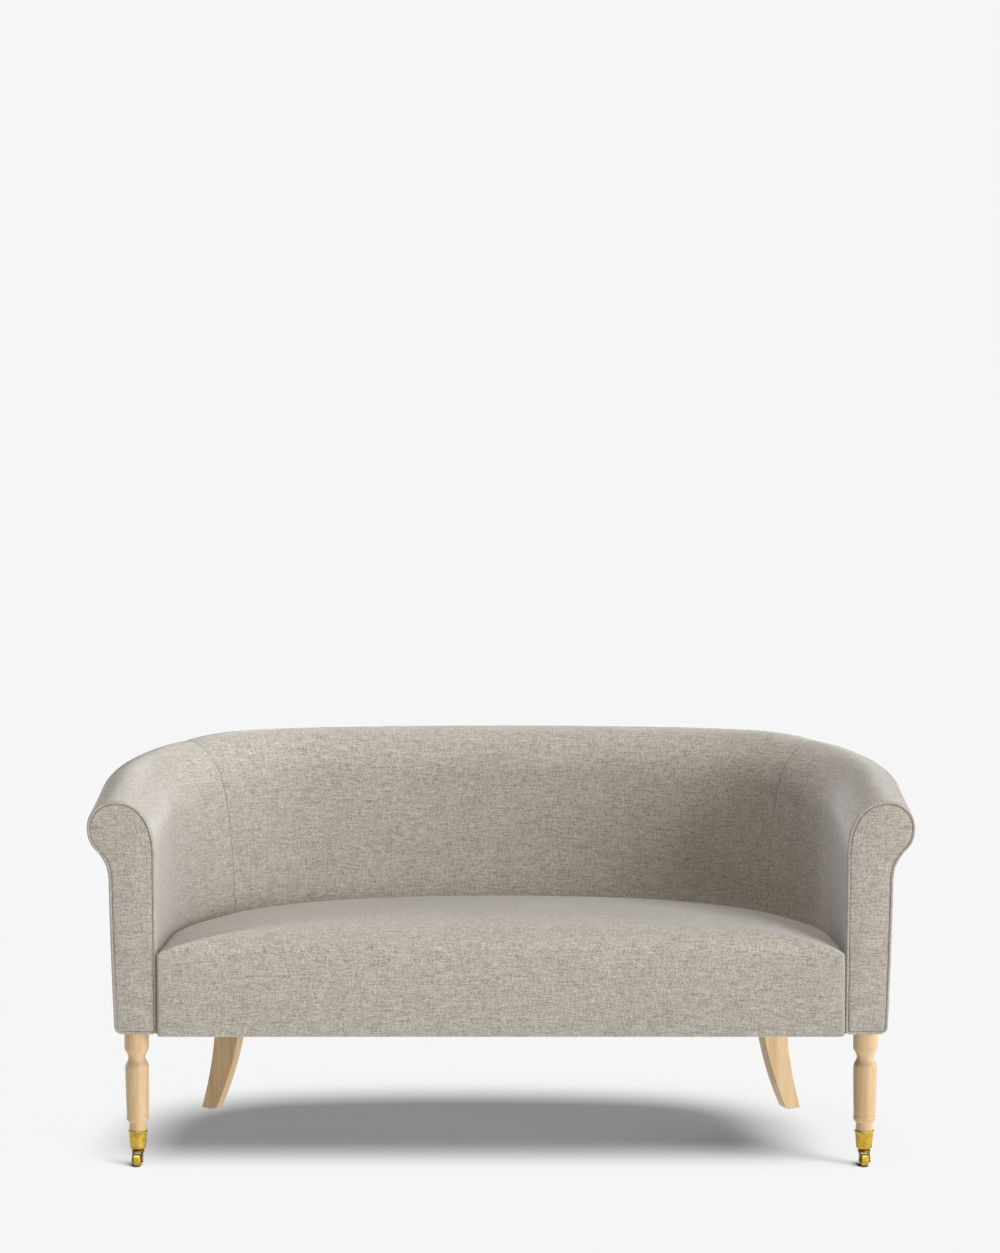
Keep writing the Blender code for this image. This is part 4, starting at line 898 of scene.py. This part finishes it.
def both_sides(model, spot, name, slot, node, body="frame", finish=None):
    """Copies of a model on both sides, each at the place and turn that spot gives; the model goes."""
    for word, side in SIDES:
        twin = model.copy()
        twin.data = model.data.copy()
        bpy.context.scene.collection.objects.link(twin)
        settle(twin, *spot(word, side))
        keep_piece(twin, f"{word}_{name}", body.format(word), slot, f"{word}_{node}", finish=finish)
    bpy.data.objects.remove(model, do_unlink=True)


def bevel_edges(item, width, segments=3, angle=math.radians(40.0)):
    modifier = item.modifiers.new("eased edges", "BEVEL")
    modifier.width = width
    modifier.segments = segments
    modifier.limit_method = "ANGLE"
    modifier.angle_limit = angle
    modifier.harden_normals = False
    apply_modifiers(item)


def soft_s(start, end, steps):
    """Points of a soft S between two (radius, height) points, without the first."""
    return [(start[0] + (end[0] - start[0]) * ease(s), start[1] + (end[1] - start[1]) * s)
            for s in evenly(0.0, 1.0, steps)[1:]]


def make_front_legs():
    """Turned legs from the frame down: block, chamfer to a neck, long barrel, bead, spigot into the cup."""
    points = [*LEG_BLOCK, LEG_NECK] + soft_s(LEG_NECK, LEG_BARREL, 8)
    for share in evenly(0.0, 1.0, 12)[1:]:
        swell = LEG_SWELL * math.sin(math.pi * share)
        points.append((LEG_BARREL[0] + (LEG_ANKLE[0] - LEG_BARREL[0]) * share + swell,
                       LEG_BARREL[1] + (LEG_ANKLE[1] - LEG_BARREL[1]) * share))
    points.append(BEAD_QUIRKS[0])
    points += arc(LEG_BEAD, BEAD_PROUD, QUARTER, -QUARTER, 8, BEAD_HALF)
    points += soft_s(BEAD_QUIRKS[1], LEG_SPIGOT, 6)
    draw_out(points + list(SPIGOT_END))
    both_sides(leave_edit(), lambda word, side: (leg_axis(word),), "turned_leg", "leg_wood", "front_leg")


def make_rear_legs():
    """Square sabre legs: a square drawn down step by step, kicked out towards the foot, arrises eased."""
    kick, depth, width = sabre_section(LEG_TOP)
    bpy.ops.mesh.primitive_plane_add(size=1.0, location=(0.0, 0.0, 0.0), enter_editmode=True)
    bpy.ops.mesh.select_all(action="SELECT")
    bpy.ops.transform.resize(value=(depth, width, 1.0), center_override=(0.0, 0.0, 0.0))
    height = LEG_TOP
    for lower in evenly(LEG_TOP, SABRE_SOLE, SABRE_STEPS)[1:]:
        next_kick, next_depth, next_width = sabre_section(lower)
        draw_step((next_kick - kick, 0.0, lower - height), (next_depth / depth, next_width / width, 1.0),
                  (next_kick, 0.0, lower - LEG_TOP))
        kick, depth, width, height = next_kick, next_depth, next_width, lower
    model = leave_edit()
    bevel_edges(model, SABRE_ARRIS)
    bpy.ops.object.shade_smooth_by_angle(angle=SMOOTH_ANGLE)

    def spot(_, side):
        return sabre_top(side), (0.0, 0.0, SABRE_ANGLE if side > 0 else math.pi - SABRE_ANGLE)

    both_sides(model, spot, "sabre_leg", "leg_wood", "rear_leg")


# Casters, as (radius, height) points over the cup's floor, from its top or over the plate's base

CUP_SIDE = ((0.0060, 0.0), (0.0119, 0.0), (0.0134, 0.0007), (0.0144, 0.0024), (0.0149, 0.0050),
            (0.0155, 0.0140), (0.0161, 0.0230), (0.0165, 0.0298), (0.0169, 0.0311))
CUP_LIP, CUP_LIP_DROP, CUP_LIP_ROUND = 0.01735, 0.0016, 0.0014
CUP_MOUTH = ((0.0166, -0.0003), (0.0160, -0.0012), (0.0147, -0.0060))
CUP_BORE = ((0.0128, 0.0060), (0.0120, 0.0030), (0.0060, 0.0030))
WHEEL_RADIUS = 0.0118
WHEEL_HALF_WIDTH = 0.0060
WHEEL_ROUND = 0.0015
WHEEL_SIDE = ((0.0024, -0.0002), (0.0046, -0.0002), (0.0050, -0.0007), (0.0054, -0.0011), (0.0088, -0.0011),
              (0.0092, -0.0006), (0.0097, -0.0001))      # in from the wheel's half width
WHEEL_SEGMENTS, AXLE_SEGMENTS = 56, 32
WHEEL_TRAIL = 0.0100
TRAIL_ANGLE = math.radians(2.0)     # wheel trails forward and this far outward
PLATE_BASE = 0.0254
PLATE = ((0.0110, 0.0), (0.0115, 0.0006), (0.0115, 0.0032), (0.0112, 0.0038), (0.0105, 0.0042),
         (0.0088, 0.0043), (0.0084, 0.0047), (0.0082, 0.0059))
CHEEK_INNER = 0.0063
CHEEK_OUTER = 0.0097
CHEEK_EYE = 0.0048                  # radius of a cheek's round end at the axle
CHEEK_UPPER = (32.0, 218.0)         # degrees round that end which are drawn up to the plate
CHEEK_DRAW, CHEEK_WIDEN = (-0.0072, 0.0, 0.0126), (1.6, 1.0, 0.25)
CHEEK_TOP = (0.0022, 0.0, PLATE_BASE + 0.0018)
CHEEK_EASE, WEB_EASE = 0.0005, 0.0006
WEB_PLACE = (-0.0046, 0.0, PLATE_BASE - 0.0030)
WEB_SIZE = (0.0046, 2 * CHEEK_INNER + 0.0020, 0.0080)
AXLE_ROD = 0.0020
AXLE_HEAD = ((0.0030, 0.0001), (0.0029, 0.0008), (0.0024, 0.0015), (0.0016, 0.0020), (0.0006, 0.0022))


def raised(points, height):
    return [(radius, height + z) for radius, z in points]


def join_to(item, other):
    """Make one solid of two pieces; the other goes."""
    join = item.modifiers.new("join", "BOOLEAN")
    join.operation = "UNION"
    join.object = other
    apply_modifiers(item)
    bpy.data.objects.remove(other, do_unlink=True)


def make_fork():
    """Swivel plate with its hub and two cheeks that drop to the axle, along +X from the pivot."""
    draw_out(raised(PLATE, PLATE_BASE))
    plate = leave_edit()
    for edge in (1, -1):
        bpy.ops.mesh.primitive_circle_add(vertices=32, radius=CHEEK_EYE, fill_type="NGON",
                                          enter_editmode=True,
                                          location=(WHEEL_TRAIL, edge * CHEEK_INNER, WHEEL_RADIUS),
                                          rotation=(QUARTER, 0.0, 0.0))
        mesh = bmesh.from_edit_mesh(bpy.context.object.data)
        for vert in mesh.verts:
            angle = math.degrees(math.atan2(vert.co.y, vert.co.x)) % 360.0
            vert.select_set(CHEEK_UPPER[0] < angle < CHEEK_UPPER[1])
        mesh.select_flush_mode()
        bmesh.update_edit_mesh(bpy.context.object.data)
        bpy.ops.transform.translate(value=CHEEK_DRAW)
        bpy.ops.transform.resize(value=CHEEK_WIDEN, center_override=CHEEK_TOP)
        bpy.ops.mesh.select_all(action="SELECT")
        thick = (0.0, edge * (CHEEK_OUTER - CHEEK_INNER), 0.0)
        bpy.ops.mesh.extrude_region_move(TRANSFORM_OT_translate={"value": thick})
        cheek = leave_edit()
        bevel_edges(cheek, CHEEK_EASE, 2, math.radians(60.0))
        settle(cheek)
        join_to(plate, cheek)
    bpy.ops.mesh.primitive_cube_add(size=1.0, location=WEB_PLACE)
    web = bpy.context.object
    web.scale = WEB_SIZE
    settle(web, web.location.copy())
    bevel_edges(web, WEB_EASE, 2)
    join_to(plate, web)
    settle(plate)
    bpy.ops.object.shade_smooth_by_angle(angle=SMOOTH_ANGLE)
    return plate


def make_casters():
    """Brass cup with a rolled lip on each front leg, its fork, and a wheel on an axle with round heads."""
    def swing(side):
        return math.atan2(-math.cos(TRAIL_ANGLE), side * math.sin(TRAIL_ANGLE))

    def at_pivot(word, side):
        return leg_axis(word), (0.0, 0.0, swing(side))

    def at_axle(word, side):
        trail = Vector((math.cos(swing(side)), math.sin(swing(side)), 0.0)) * WHEEL_TRAIL
        return leg_axis(word) + trail + Vector((0.0, 0.0, WHEEL_RADIUS)), (QUARTER, 0.0, swing(side))

    lip = arc((CUP_LIP, CUP_TOP - CUP_LIP_DROP), CUP_LIP_ROUND, -QUARTER, QUARTER, 8)
    draw_out(raised(CUP_SIDE, CUP_BASE) + lip + raised(CUP_MOUTH, CUP_TOP) + raised(CUP_BORE, CUP_BASE))
    both_sides(leave_edit(), lambda word, side: (leg_axis(word),), "brass_cup", "brass", "caster_cup")
    # the forks take the darkened brass, which is painted shade
    both_sides(make_fork(), at_pivot, "brass_fork", "brass", "caster_horn", "{}_caster", PAINTED_SHADE_BRASS)
    rod = [(AXLE_ROD, CHEEK_OUTER)] + raised(AXLE_HEAD, CHEEK_OUTER)
    draw_out([(radius, -out) for radius, out in reversed(rod)] + rod, AXLE_SEGMENTS)
    both_sides(leave_edit(), at_axle, "brass_axle", "brass", "caster_axle", "{}_caster")
    tread = (WHEEL_RADIUS - WHEEL_ROUND, WHEEL_HALF_WIDTH - WHEEL_ROUND)
    half = raised(WHEEL_SIDE, WHEEL_HALF_WIDTH) + arc(tread, WHEEL_ROUND, QUARTER, 0.0, 6)
    draw_out(half + [(radius, -out) for radius, out in reversed(half)], WHEEL_SEGMENTS)
    both_sides(leave_edit(), at_axle, "brass_wheel", "brass", "caster_wheel", "{}_wheel")


# Shading helpers

class Nodes:
    """A tree of shader nodes, with short ways to add to it."""

    def __init__(self, tree):
        self.tree = tree

    def feed(self, socket, value):
        if isinstance(value, bpy.types.NodeSocket):
            self.tree.links.new(value, socket)
        else:
            socket.default_value = value

    def add(self, kind, inputs, **settings):
        """New node with its settings, its inputs fed by name or number; returns its outputs."""
        made = self.tree.nodes.new("ShaderNode" + kind)
        for label, value in settings.items():
            setattr(made, label, value)
        for label, value in inputs.items():
            self.feed(made.inputs[label], value)
        return made.outputs

    def calc(self, operation, *values):
        return self.add("Math", dict(enumerate(values)), operation=operation)[0]

    def blend(self, factor, first, second):
        return self.add("Mix", {0: factor, 2: first, 3: second}, data_type="FLOAT")[0]

    def tint(self, factor, first, second, mode="MIX"):
        return self.add("Mix", {0: factor, 6: first, 7: second}, data_type="RGBA", blend_type=mode)[2]

    def vector(self, x, y, z=0.0):
        return self.add("CombineXYZ", {0: x, 1: y, 2: z})[0]

    def noise(self, vector, scale, detail=2.0, roughness=0.5, distortion=0.0, squeeze=None):
        """Noise texture, squeezed along Z by a factor where one is given."""
        if squeeze:
            vector = self.add("Mapping", {"Vector": vector, "Scale": (1.0, 1.0, squeeze)})[0]
        return self.add("TexNoise", {"Vector": vector, "Scale": scale, "Detail": detail,
                                     "Roughness": roughness, "Distortion": distortion})[0]

    def ramp(self, factor, *stops):
        """Colour ramp through (place, colour) stops."""
        made = self.tree.nodes.new("ShaderNodeValToRGB")
        self.feed(made.inputs[0], factor)
        elements = made.color_ramp.elements
        while len(elements) < len(stops):
            elements.new(0.5)
        for element, (where, colour) in zip(elements, stops):
            element.position = where
            element.color = (*colour, 1.0)
        return made.outputs[0]

    def bump(self, height, distance, strength):
        return self.add("Bump", {"Height": height, "Distance": distance, "Strength": strength})[0]

    def use(self, effect_tree, **inputs):
        return self.add("Group", inputs, node_tree=effect_tree)

    def own_place(self):
        return self.add("TexCoord", {})["Object"]

    def cloth_map(self):
        return self.add("UVMap", {}, uv_map="cloth")[0]


def effect(name, make, **inputs):
    """Node group whose outputs make returns; an input without a value is a vector."""
    tree = bpy.data.node_groups.new(name, "ShaderNodeTree")
    for label, value in inputs.items():
        kind = "NodeSocketVector" if value is None else "NodeSocketFloat"
        socket = tree.interface.new_socket(name=label, in_out="INPUT", socket_type=kind)
        if value is not None:
            socket.default_value = value
    results = make(Nodes(tree), tree.nodes.new("NodeGroupInput").outputs)
    for label in results:
        tree.interface.new_socket(name=label, in_out="OUTPUT", socket_type="NodeSocketFloat")
    end = tree.nodes.new("NodeGroupOutput")
    for label, socket in results.items():
        tree.links.new(socket, end.inputs[label])
    return tree


def material(name, make=None, *given, **plain):
    """Material with plain values on its shader's own sockets, and the varying inputs that make returns."""
    made = bpy.data.materials.new(name)
    made.use_nodes = True
    shader = made.node_tree.nodes["Principled BSDF"]
    for label, value in plain.items():
        shader.inputs[label.replace("_", " ")].default_value = value
    if make:
        for label, socket in make(Nodes(made.node_tree), *given).items():
            made.node_tree.links.new(socket, shader.inputs[label])
    return made


# Shared effects

def plain_weave(nodes, given):
    """Over and under threads: the height of the cloth, the tone of each yarn, and a fleck per crossing."""
    flat = nodes.add("SeparateXYZ", {0: given["Cloth"]})
    threads = [nodes.calc("DIVIDE", flat[k], given["Pitch"]) for k in range(2)]
    warp, weft = (nodes.calc("FLOOR", thread) for thread in threads)
    turns = [nodes.calc("MULTIPLY", nodes.calc("FRACT", thread), math.pi) for thread in threads]
    warp_round, weft_round = (nodes.calc("SINE", turn) for turn in turns)
    over = nodes.calc("FLOORED_MODULO", nodes.calc("ADD", warp, weft), 2.0)
    warp_top = nodes.calc("MULTIPLY", warp_round, nodes.calc("MULTIPLY_ADD", weft_round, 0.45, 0.55))
    weft_top = nodes.calc("MULTIPLY", weft_round, nodes.calc("MULTIPLY_ADD", warp_round, 0.45, 0.55))
    along_weft, along_warp = (nodes.calc("MULTIPLY", flat[k], given["Slub"]) for k in range(2))
    # each thread takes its slubs from its own line through the noise
    weft_slub = nodes.noise(nodes.vector(along_weft, nodes.calc("MULTIPLY", weft, 7.31)), 1.0, 1.0)
    warp_slub = nodes.noise(nodes.vector(nodes.calc("MULTIPLY", warp, 5.17), along_warp, 9.0), 1.0, 1.0)
    cell = nodes.add("TexWhiteNoise", {"Vector": nodes.vector(warp, weft)}, noise_dimensions="2D")
    return {"Height": nodes.blend(over, warp_top, weft_top),
            "Yarn": nodes.blend(nodes.blend(over, 0.35, 0.85), warp_slub, weft_slub),
            "Fleck": cell["Value"]}


def wood_grain(nodes, given):
    """Fibres, broad figure and short pores of wood whose grain runs along Z."""
    spot = nodes.add("VectorMath", {0: given["Place"], "Scale": given["Scale"]}, operation="SCALE")[0]
    pore = nodes.noise(spot, 900.0, 1.0, 0.4, squeeze=0.03)
    return {"Fibre": nodes.noise(spot, 260.0, 4.0, 0.6, squeeze=0.045),
            "Figure": nodes.noise(spot, 42.0, 3.0, 0.55, 0.6, squeeze=0.10),
            "Pore": nodes.calc("GREATER_THAN", pore, 0.66)}


def handled_metal(nodes, given):
    """Fine rubbing marks and soft patches of tarnish on metal."""
    return {"Rub": nodes.noise(given["Place"], 420.0, 3.0, 0.6, squeeze=6.0),
            "Tarnish": nodes.noise(given["Place"], 110.0, 4.0, 0.6)}


WEAVE = effect("plain_weave", plain_weave, Cloth=None, Pitch=0.002, Slub=60.0)
GRAIN = effect("wood_grain", wood_grain, Place=None, Scale=1.0)
METAL = effect("handled_metal", handled_metal, Place=None)


# Materials

def linen_cover(nodes):
    """Heathered linen: oatmeal yarns with darker and lighter slubs, salt and pepper at each crossing."""
    cloth = nodes.cloth_map()
    woven = nodes.use(WEAVE, Cloth=cloth, Pitch=0.0013, Slub=48.0)
    tone = 0.5
    for value, share in ((woven["Yarn"], 1.5), (woven["Fleck"], 0.52), (nodes.noise(cloth, 14.0), 0.06)):
        tone = nodes.calc("MULTIPLY_ADD", nodes.calc("SUBTRACT", value, 0.5), share, tone)
    colour = nodes.ramp(tone, (0.0, (0.200, 0.168, 0.136)), (0.28, (0.370, 0.326, 0.272)),
                        (0.55, (0.525, 0.476, 0.410)), (0.80, (0.650, 0.604, 0.540)),
                        (1.0, (0.770, 0.730, 0.675)))
    # painted shade: the colour drops to 0.8 where the threads dip under, darker in the hollows of the weave
    shade = nodes.blend(woven["Height"], 0.80, 1.06)
    return {"Base Color": nodes.tint(1.0, colour, nodes.vector(shade, shade, shade), "MULTIPLY"),
            "Normal": nodes.bump(woven["Height"], 0.0005, 0.55)}


def leg_wood(nodes):
    """Pale hardwood under a clear satin coat."""
    grain = nodes.use(GRAIN, Place=nodes.own_place(), Scale=1.0)
    colour = nodes.ramp(nodes.blend(0.55, grain["Fibre"], grain["Figure"]), (0.30, (0.520, 0.332, 0.158)),
                        (0.50, (0.668, 0.458, 0.244)), (0.70, (0.758, 0.558, 0.338)))
    relief = nodes.calc("SUBTRACT", grain["Fibre"], nodes.calc("MULTIPLY", grain["Pore"], 0.5))
    pores = nodes.calc("MULTIPLY", grain["Pore"], 0.30)
    return {"Base Color": nodes.tint(pores, colour, (0.38, 0.23, 0.11, 1.0)),
            "Roughness": nodes.blend(grain["Fibre"], 0.30, 0.48),
            "Normal": nodes.bump(relief, 0.0002, 0.25)}


def frame_wood(nodes):
    """Sawn beech of the hidden frame."""
    grain = nodes.use(GRAIN, Place=nodes.own_place(), Scale=0.7)
    colour = nodes.ramp(grain["Figure"], (0.32, (0.42, 0.27, 0.14)), (0.68, (0.60, 0.43, 0.26)))
    pores = nodes.calc("MULTIPLY", grain["Pore"], 0.4)
    return {"Base Color": nodes.tint(pores, colour, (0.28, 0.17, 0.09, 1.0)),
            "Roughness": nodes.blend(grain["Fibre"], 0.62, 0.85),
            "Normal": nodes.bump(grain["Fibre"], 0.0004, 0.4)}


def worn_metal(nodes, least, most, *stops):
    """Metal in tones of tarnish, with its least and most roughness."""
    marks = nodes.use(METAL, Place=nodes.own_place())
    return {"Base Color": nodes.ramp(marks["Tarnish"], *stops),
            "Roughness": nodes.blend(marks["Rub"], least, most),
            "Normal": nodes.bump(marks["Rub"], 0.0001, 0.2)}


def coarse_cloth(nodes, dark, light, pitch, mapped):
    """Open cloth of one yarn colour, on the cloth map or on the piece's own coordinates."""
    where = nodes.cloth_map() if mapped else nodes.own_place()
    woven = nodes.use(WEAVE, Cloth=where, Pitch=pitch, Slub=50.0)
    # half of the tone follows the weave's height: painted shade, darker in the hollows between threads; the
    # other half is the yarn's own tone
    tone = nodes.calc("ADD", *(nodes.calc("MULTIPLY", woven[label], 0.5) for label in ("Height", "Yarn")))
    return {"Base Color": nodes.ramp(tone, (0.2, dark), (0.8, light)),
            "Normal": nodes.bump(woven["Height"], 0.0006, 0.6)}


def fibre_pad(nodes, dark, light, scale):
    """Foam or felt: fine cells or fibres."""
    cells = nodes.noise(nodes.own_place(), scale, 3.0, 0.65)
    return {"Base Color": nodes.ramp(cells, (0.3, dark), (0.7, light)),
            "Normal": nodes.bump(cells, 0.0008, 0.5)}


DULL_CLOTH = {"Roughness": 0.95, "Specular_IOR_Level": 0.12}
DULL_PAD = {"Roughness": 0.96, "Specular_IOR_Level": 0.1}
LINEN = material("heathered_linen", linen_cover, Roughness=0.92, Sheen_Weight=1.0, Sheen_Roughness=0.35,
                 Sheen_Tint=(1.0, 1.0, 1.0, 1.0), Specular_IOR_Level=0.15)
PALE_WOOD = material("pale_satin_wood", leg_wood, Specular_IOR_Level=0.35, Coat_Weight=0.12,
                     Coat_Roughness=0.22)
BEECH = material("sawn_beech", frame_wood, Specular_IOR_Level=0.3)
BRASS = material("polished_brass", worn_metal, 0.32, 0.50, (0.35, (0.40, 0.26, 0.038)),
                 (0.52, (0.57, 0.385, 0.060)), (0.75, (0.65, 0.46, 0.090)), Metallic=1.0)
# the brass again at about a third of its brightness: painted shade for the forks, which sit in the shadow
# under the cups
PAINTED_SHADE_BRASS = material("painted_shade_brass", worn_metal, 0.36, 0.54, (0.35, (0.10, 0.055, 0.010)),
                      (0.52, (0.19, 0.115, 0.020)), (0.75, (0.30, 0.195, 0.038)), Metallic=1.0)
STEEL = material("bright_steel", worn_metal, 0.25, 0.5, (0.35, (0.34, 0.33, 0.32)),
                 (0.65, (0.55, 0.55, 0.56)), Metallic=1.0)
JUTE = material("jute_burlap", coarse_cloth, (0.20, 0.13, 0.065), (0.50, 0.37, 0.21), 0.0030, False,
                **DULL_CLOTH)
BLACK = material("black_lining", coarse_cloth, (0.012, 0.012, 0.014), (0.050, 0.050, 0.054), 0.0012, True,
                 **DULL_CLOTH)
FOAM = material("seat_foam", fibre_pad, (0.62, 0.57, 0.44), (0.84, 0.80, 0.68), 900.0, **DULL_PAD)
FELT = material("grey_felt", fibre_pad, (0.20, 0.19, 0.18), (0.42, 0.40, 0.38), 420.0, **DULL_PAD)
BY_SLOT = {"cover_cloth": LINEN, "leg_wood": PALE_WOOD, "brass": BRASS, "black_cloth": BLACK}
# finish of the frame's own solids, by the first of these words in their names
BY_WORD = {"bolt": STEEL, "cover": LINEN, "facing": LINEN, "welt": LINEN, "pad": FOAM, "foam": FOAM,
           "insulator": FELT, "burlap": JUTE, "springs": STEEL, "glide": STEEL, "caster": BRASS,
           "front_leg": PALE_WOOD, "rear_leg": PALE_WOOD}


# The object

make_covers("", "back", back_columns(), True, [], UNDER_ROWS[:2])
for hand, sign in SIDES:
    make_covers(hand + "_", "arm", arm_columns(sign), sign > 0, SKIRT_ROWS, UNDER_ROWS)
    make_arm_front(hand, sign)
make_seat()
make_dust_cover()
make_front_legs()
make_rear_legs()
make_casters()
for node_name, node in frame["nodes"].items():
    node_finish = next((finish for word, finish in BY_WORD.items() if word in node_name), BEECH)
    for slot in node.material_slots:
        slot.material = node_finish


# Stage, light and camera

BACKDROP = 0.922                    # pale grey that the floor comes to under these lights
FLOOR_TONE = 0.05
SKY_LIGHT = 0.05
# strength, degrees to the right of the camera, degrees up, softness in degrees
STUDIO_LIGHTS = {"front_right": (3.0, 43.0, 3.0, 34.0), "right": (2.4, 95.0, 3.0, 34.0),
                 "overhead": (2.2, 0.0, 84.0, 14.0), "behind_left": (0.7, -130.0, 6.0, 30.0)}
# two lights that reach the floor alone: one from above for the shadow under the seat, one from the right
FLOOR_LIGHT_LEAN = (0.235, -0.38)   # across and towards the camera, for each metre up
FLOOR_LIGHT_SOFTNESS = 30.0
LEG_LIGHT_SHARE = 0.25
LEG_LIGHT_LEAN = (1.35, -0.95)
LEG_LIGHT_SOFTNESS = 30.0


def sun(name, strength, towards, softness):
    data = bpy.data.lights.new(name, "SUN")
    data.energy = strength
    data.angle = math.radians(softness)
    lamp = bpy.data.objects.new(name, data)
    bpy.context.scene.collection.objects.link(lamp)
    lamp.rotation_euler = towards.to_track_quat("Z", "Y").to_euler()
    return lamp


bpy.ops.mesh.primitive_plane_add(size=120.0, location=(0.0, 0.0, 0.0))
floor = bpy.context.object
floor.name = "studio_floor"
dress(floor, material("studio_floor", Base_Color=(FLOOR_TONE, FLOOR_TONE, FLOOR_TONE, 1.0),
                      Roughness=1.0, Specular_IOR_Level=0.0))

world = bpy.data.worlds.new("studio")
bpy.context.scene.world = world
world.use_nodes = True
sky = Nodes(world.node_tree)
background = world.node_tree.nodes["Background"]
path = sky.add("LightPath", {})
seen = sky.calc("MAXIMUM", path["Is Camera Ray"], path["Is Glossy Ray"])
seen = sky.calc("MAXIMUM", seen, path["Is Transmission Ray"])
sky.feed(background.inputs["Strength"], sky.blend(seen, SKY_LIGHT, BACKDROP))
background.inputs["Color"].default_value = (1.0, 1.0, 1.0, 1.0)

on_floor = SKY_LIGHT
for light_name, (strength, turn, up, softness) in STUDIO_LIGHTS.items():
    turn, up = math.radians(turn), math.radians(up)
    towards = Vector((math.sin(turn) * math.cos(up), -math.cos(turn) * math.cos(up), math.sin(up)))
    sun(light_name, strength, towards, softness)
    on_floor += strength * towards.z / math.pi

lit_floor = bpy.data.collections.new("lit_floor")
lit_floor.objects.link(floor)


def floor_sun(name, share, lean, softness, blockers):
    """Light on the floor alone, past the arms and back, whose shadows come from the named pieces."""
    towards = Vector((*lean, 1.0)).normalized()
    lamp = sun(name, share * math.pi / FLOOR_TONE / towards.z, towards, softness)
    lamp.light_linking.receiver_collection = lit_floor
    shading = bpy.data.collections.new(name + "_shadows")
    for item in bpy.context.scene.objects:
        if item.name.endswith(blockers):
            shading.objects.link(item)
    lamp.light_linking.blocker_collection = shading


floor_sun("floor_light", BACKDROP - LEG_LIGHT_SHARE - on_floor * FLOOR_TONE, FLOOR_LIGHT_LEAN,
          FLOOR_LIGHT_SOFTNESS, ("insulator", "_brass_fork", "_brass_wheel"))
floor_sun("leg_light", LEG_LIGHT_SHARE, LEG_LIGHT_LEAN, LEG_LIGHT_SOFTNESS,
          ("_brass_fork", "_brass_wheel", "right_brass_cup", "right_turned_leg"))

CAMERA_DISTANCE = 6.0               # ahead of the arm fronts
CAMERA_HEIGHT = 1.5012
CAMERA_PITCH = math.radians(7.3)
SENSOR = 36.0
IMAGE_WIDTH, IMAGE_HEIGHT = 1000, 1253
FOCAL_PIXELS = 3334.0
AXIS_PIXEL = (501.05, 776.4)        # where the optical axis meets the photograph

camera_data = bpy.data.cameras.new("camera")
camera_data.sensor_fit = "VERTICAL"
camera_data.sensor_height = SENSOR
camera_data.lens = SENSOR * FOCAL_PIXELS / IMAGE_HEIGHT
camera_data.shift_x = (IMAGE_WIDTH / 2 - AXIS_PIXEL[0]) / IMAGE_HEIGHT
camera_data.shift_y = (AXIS_PIXEL[1] - IMAGE_HEIGHT / 2) / IMAGE_HEIGHT
camera = bpy.data.objects.new("camera", camera_data)
bpy.context.scene.collection.objects.link(camera)
camera.location = place(0.0, -CAMERA_DISTANCE, CAMERA_HEIGHT)
camera.rotation_euler = (QUARTER - CAMERA_PITCH, 0.0, 0.0)
bpy.context.scene.camera = camera
bpy.context.scene.view_settings.view_transform = "Standard"
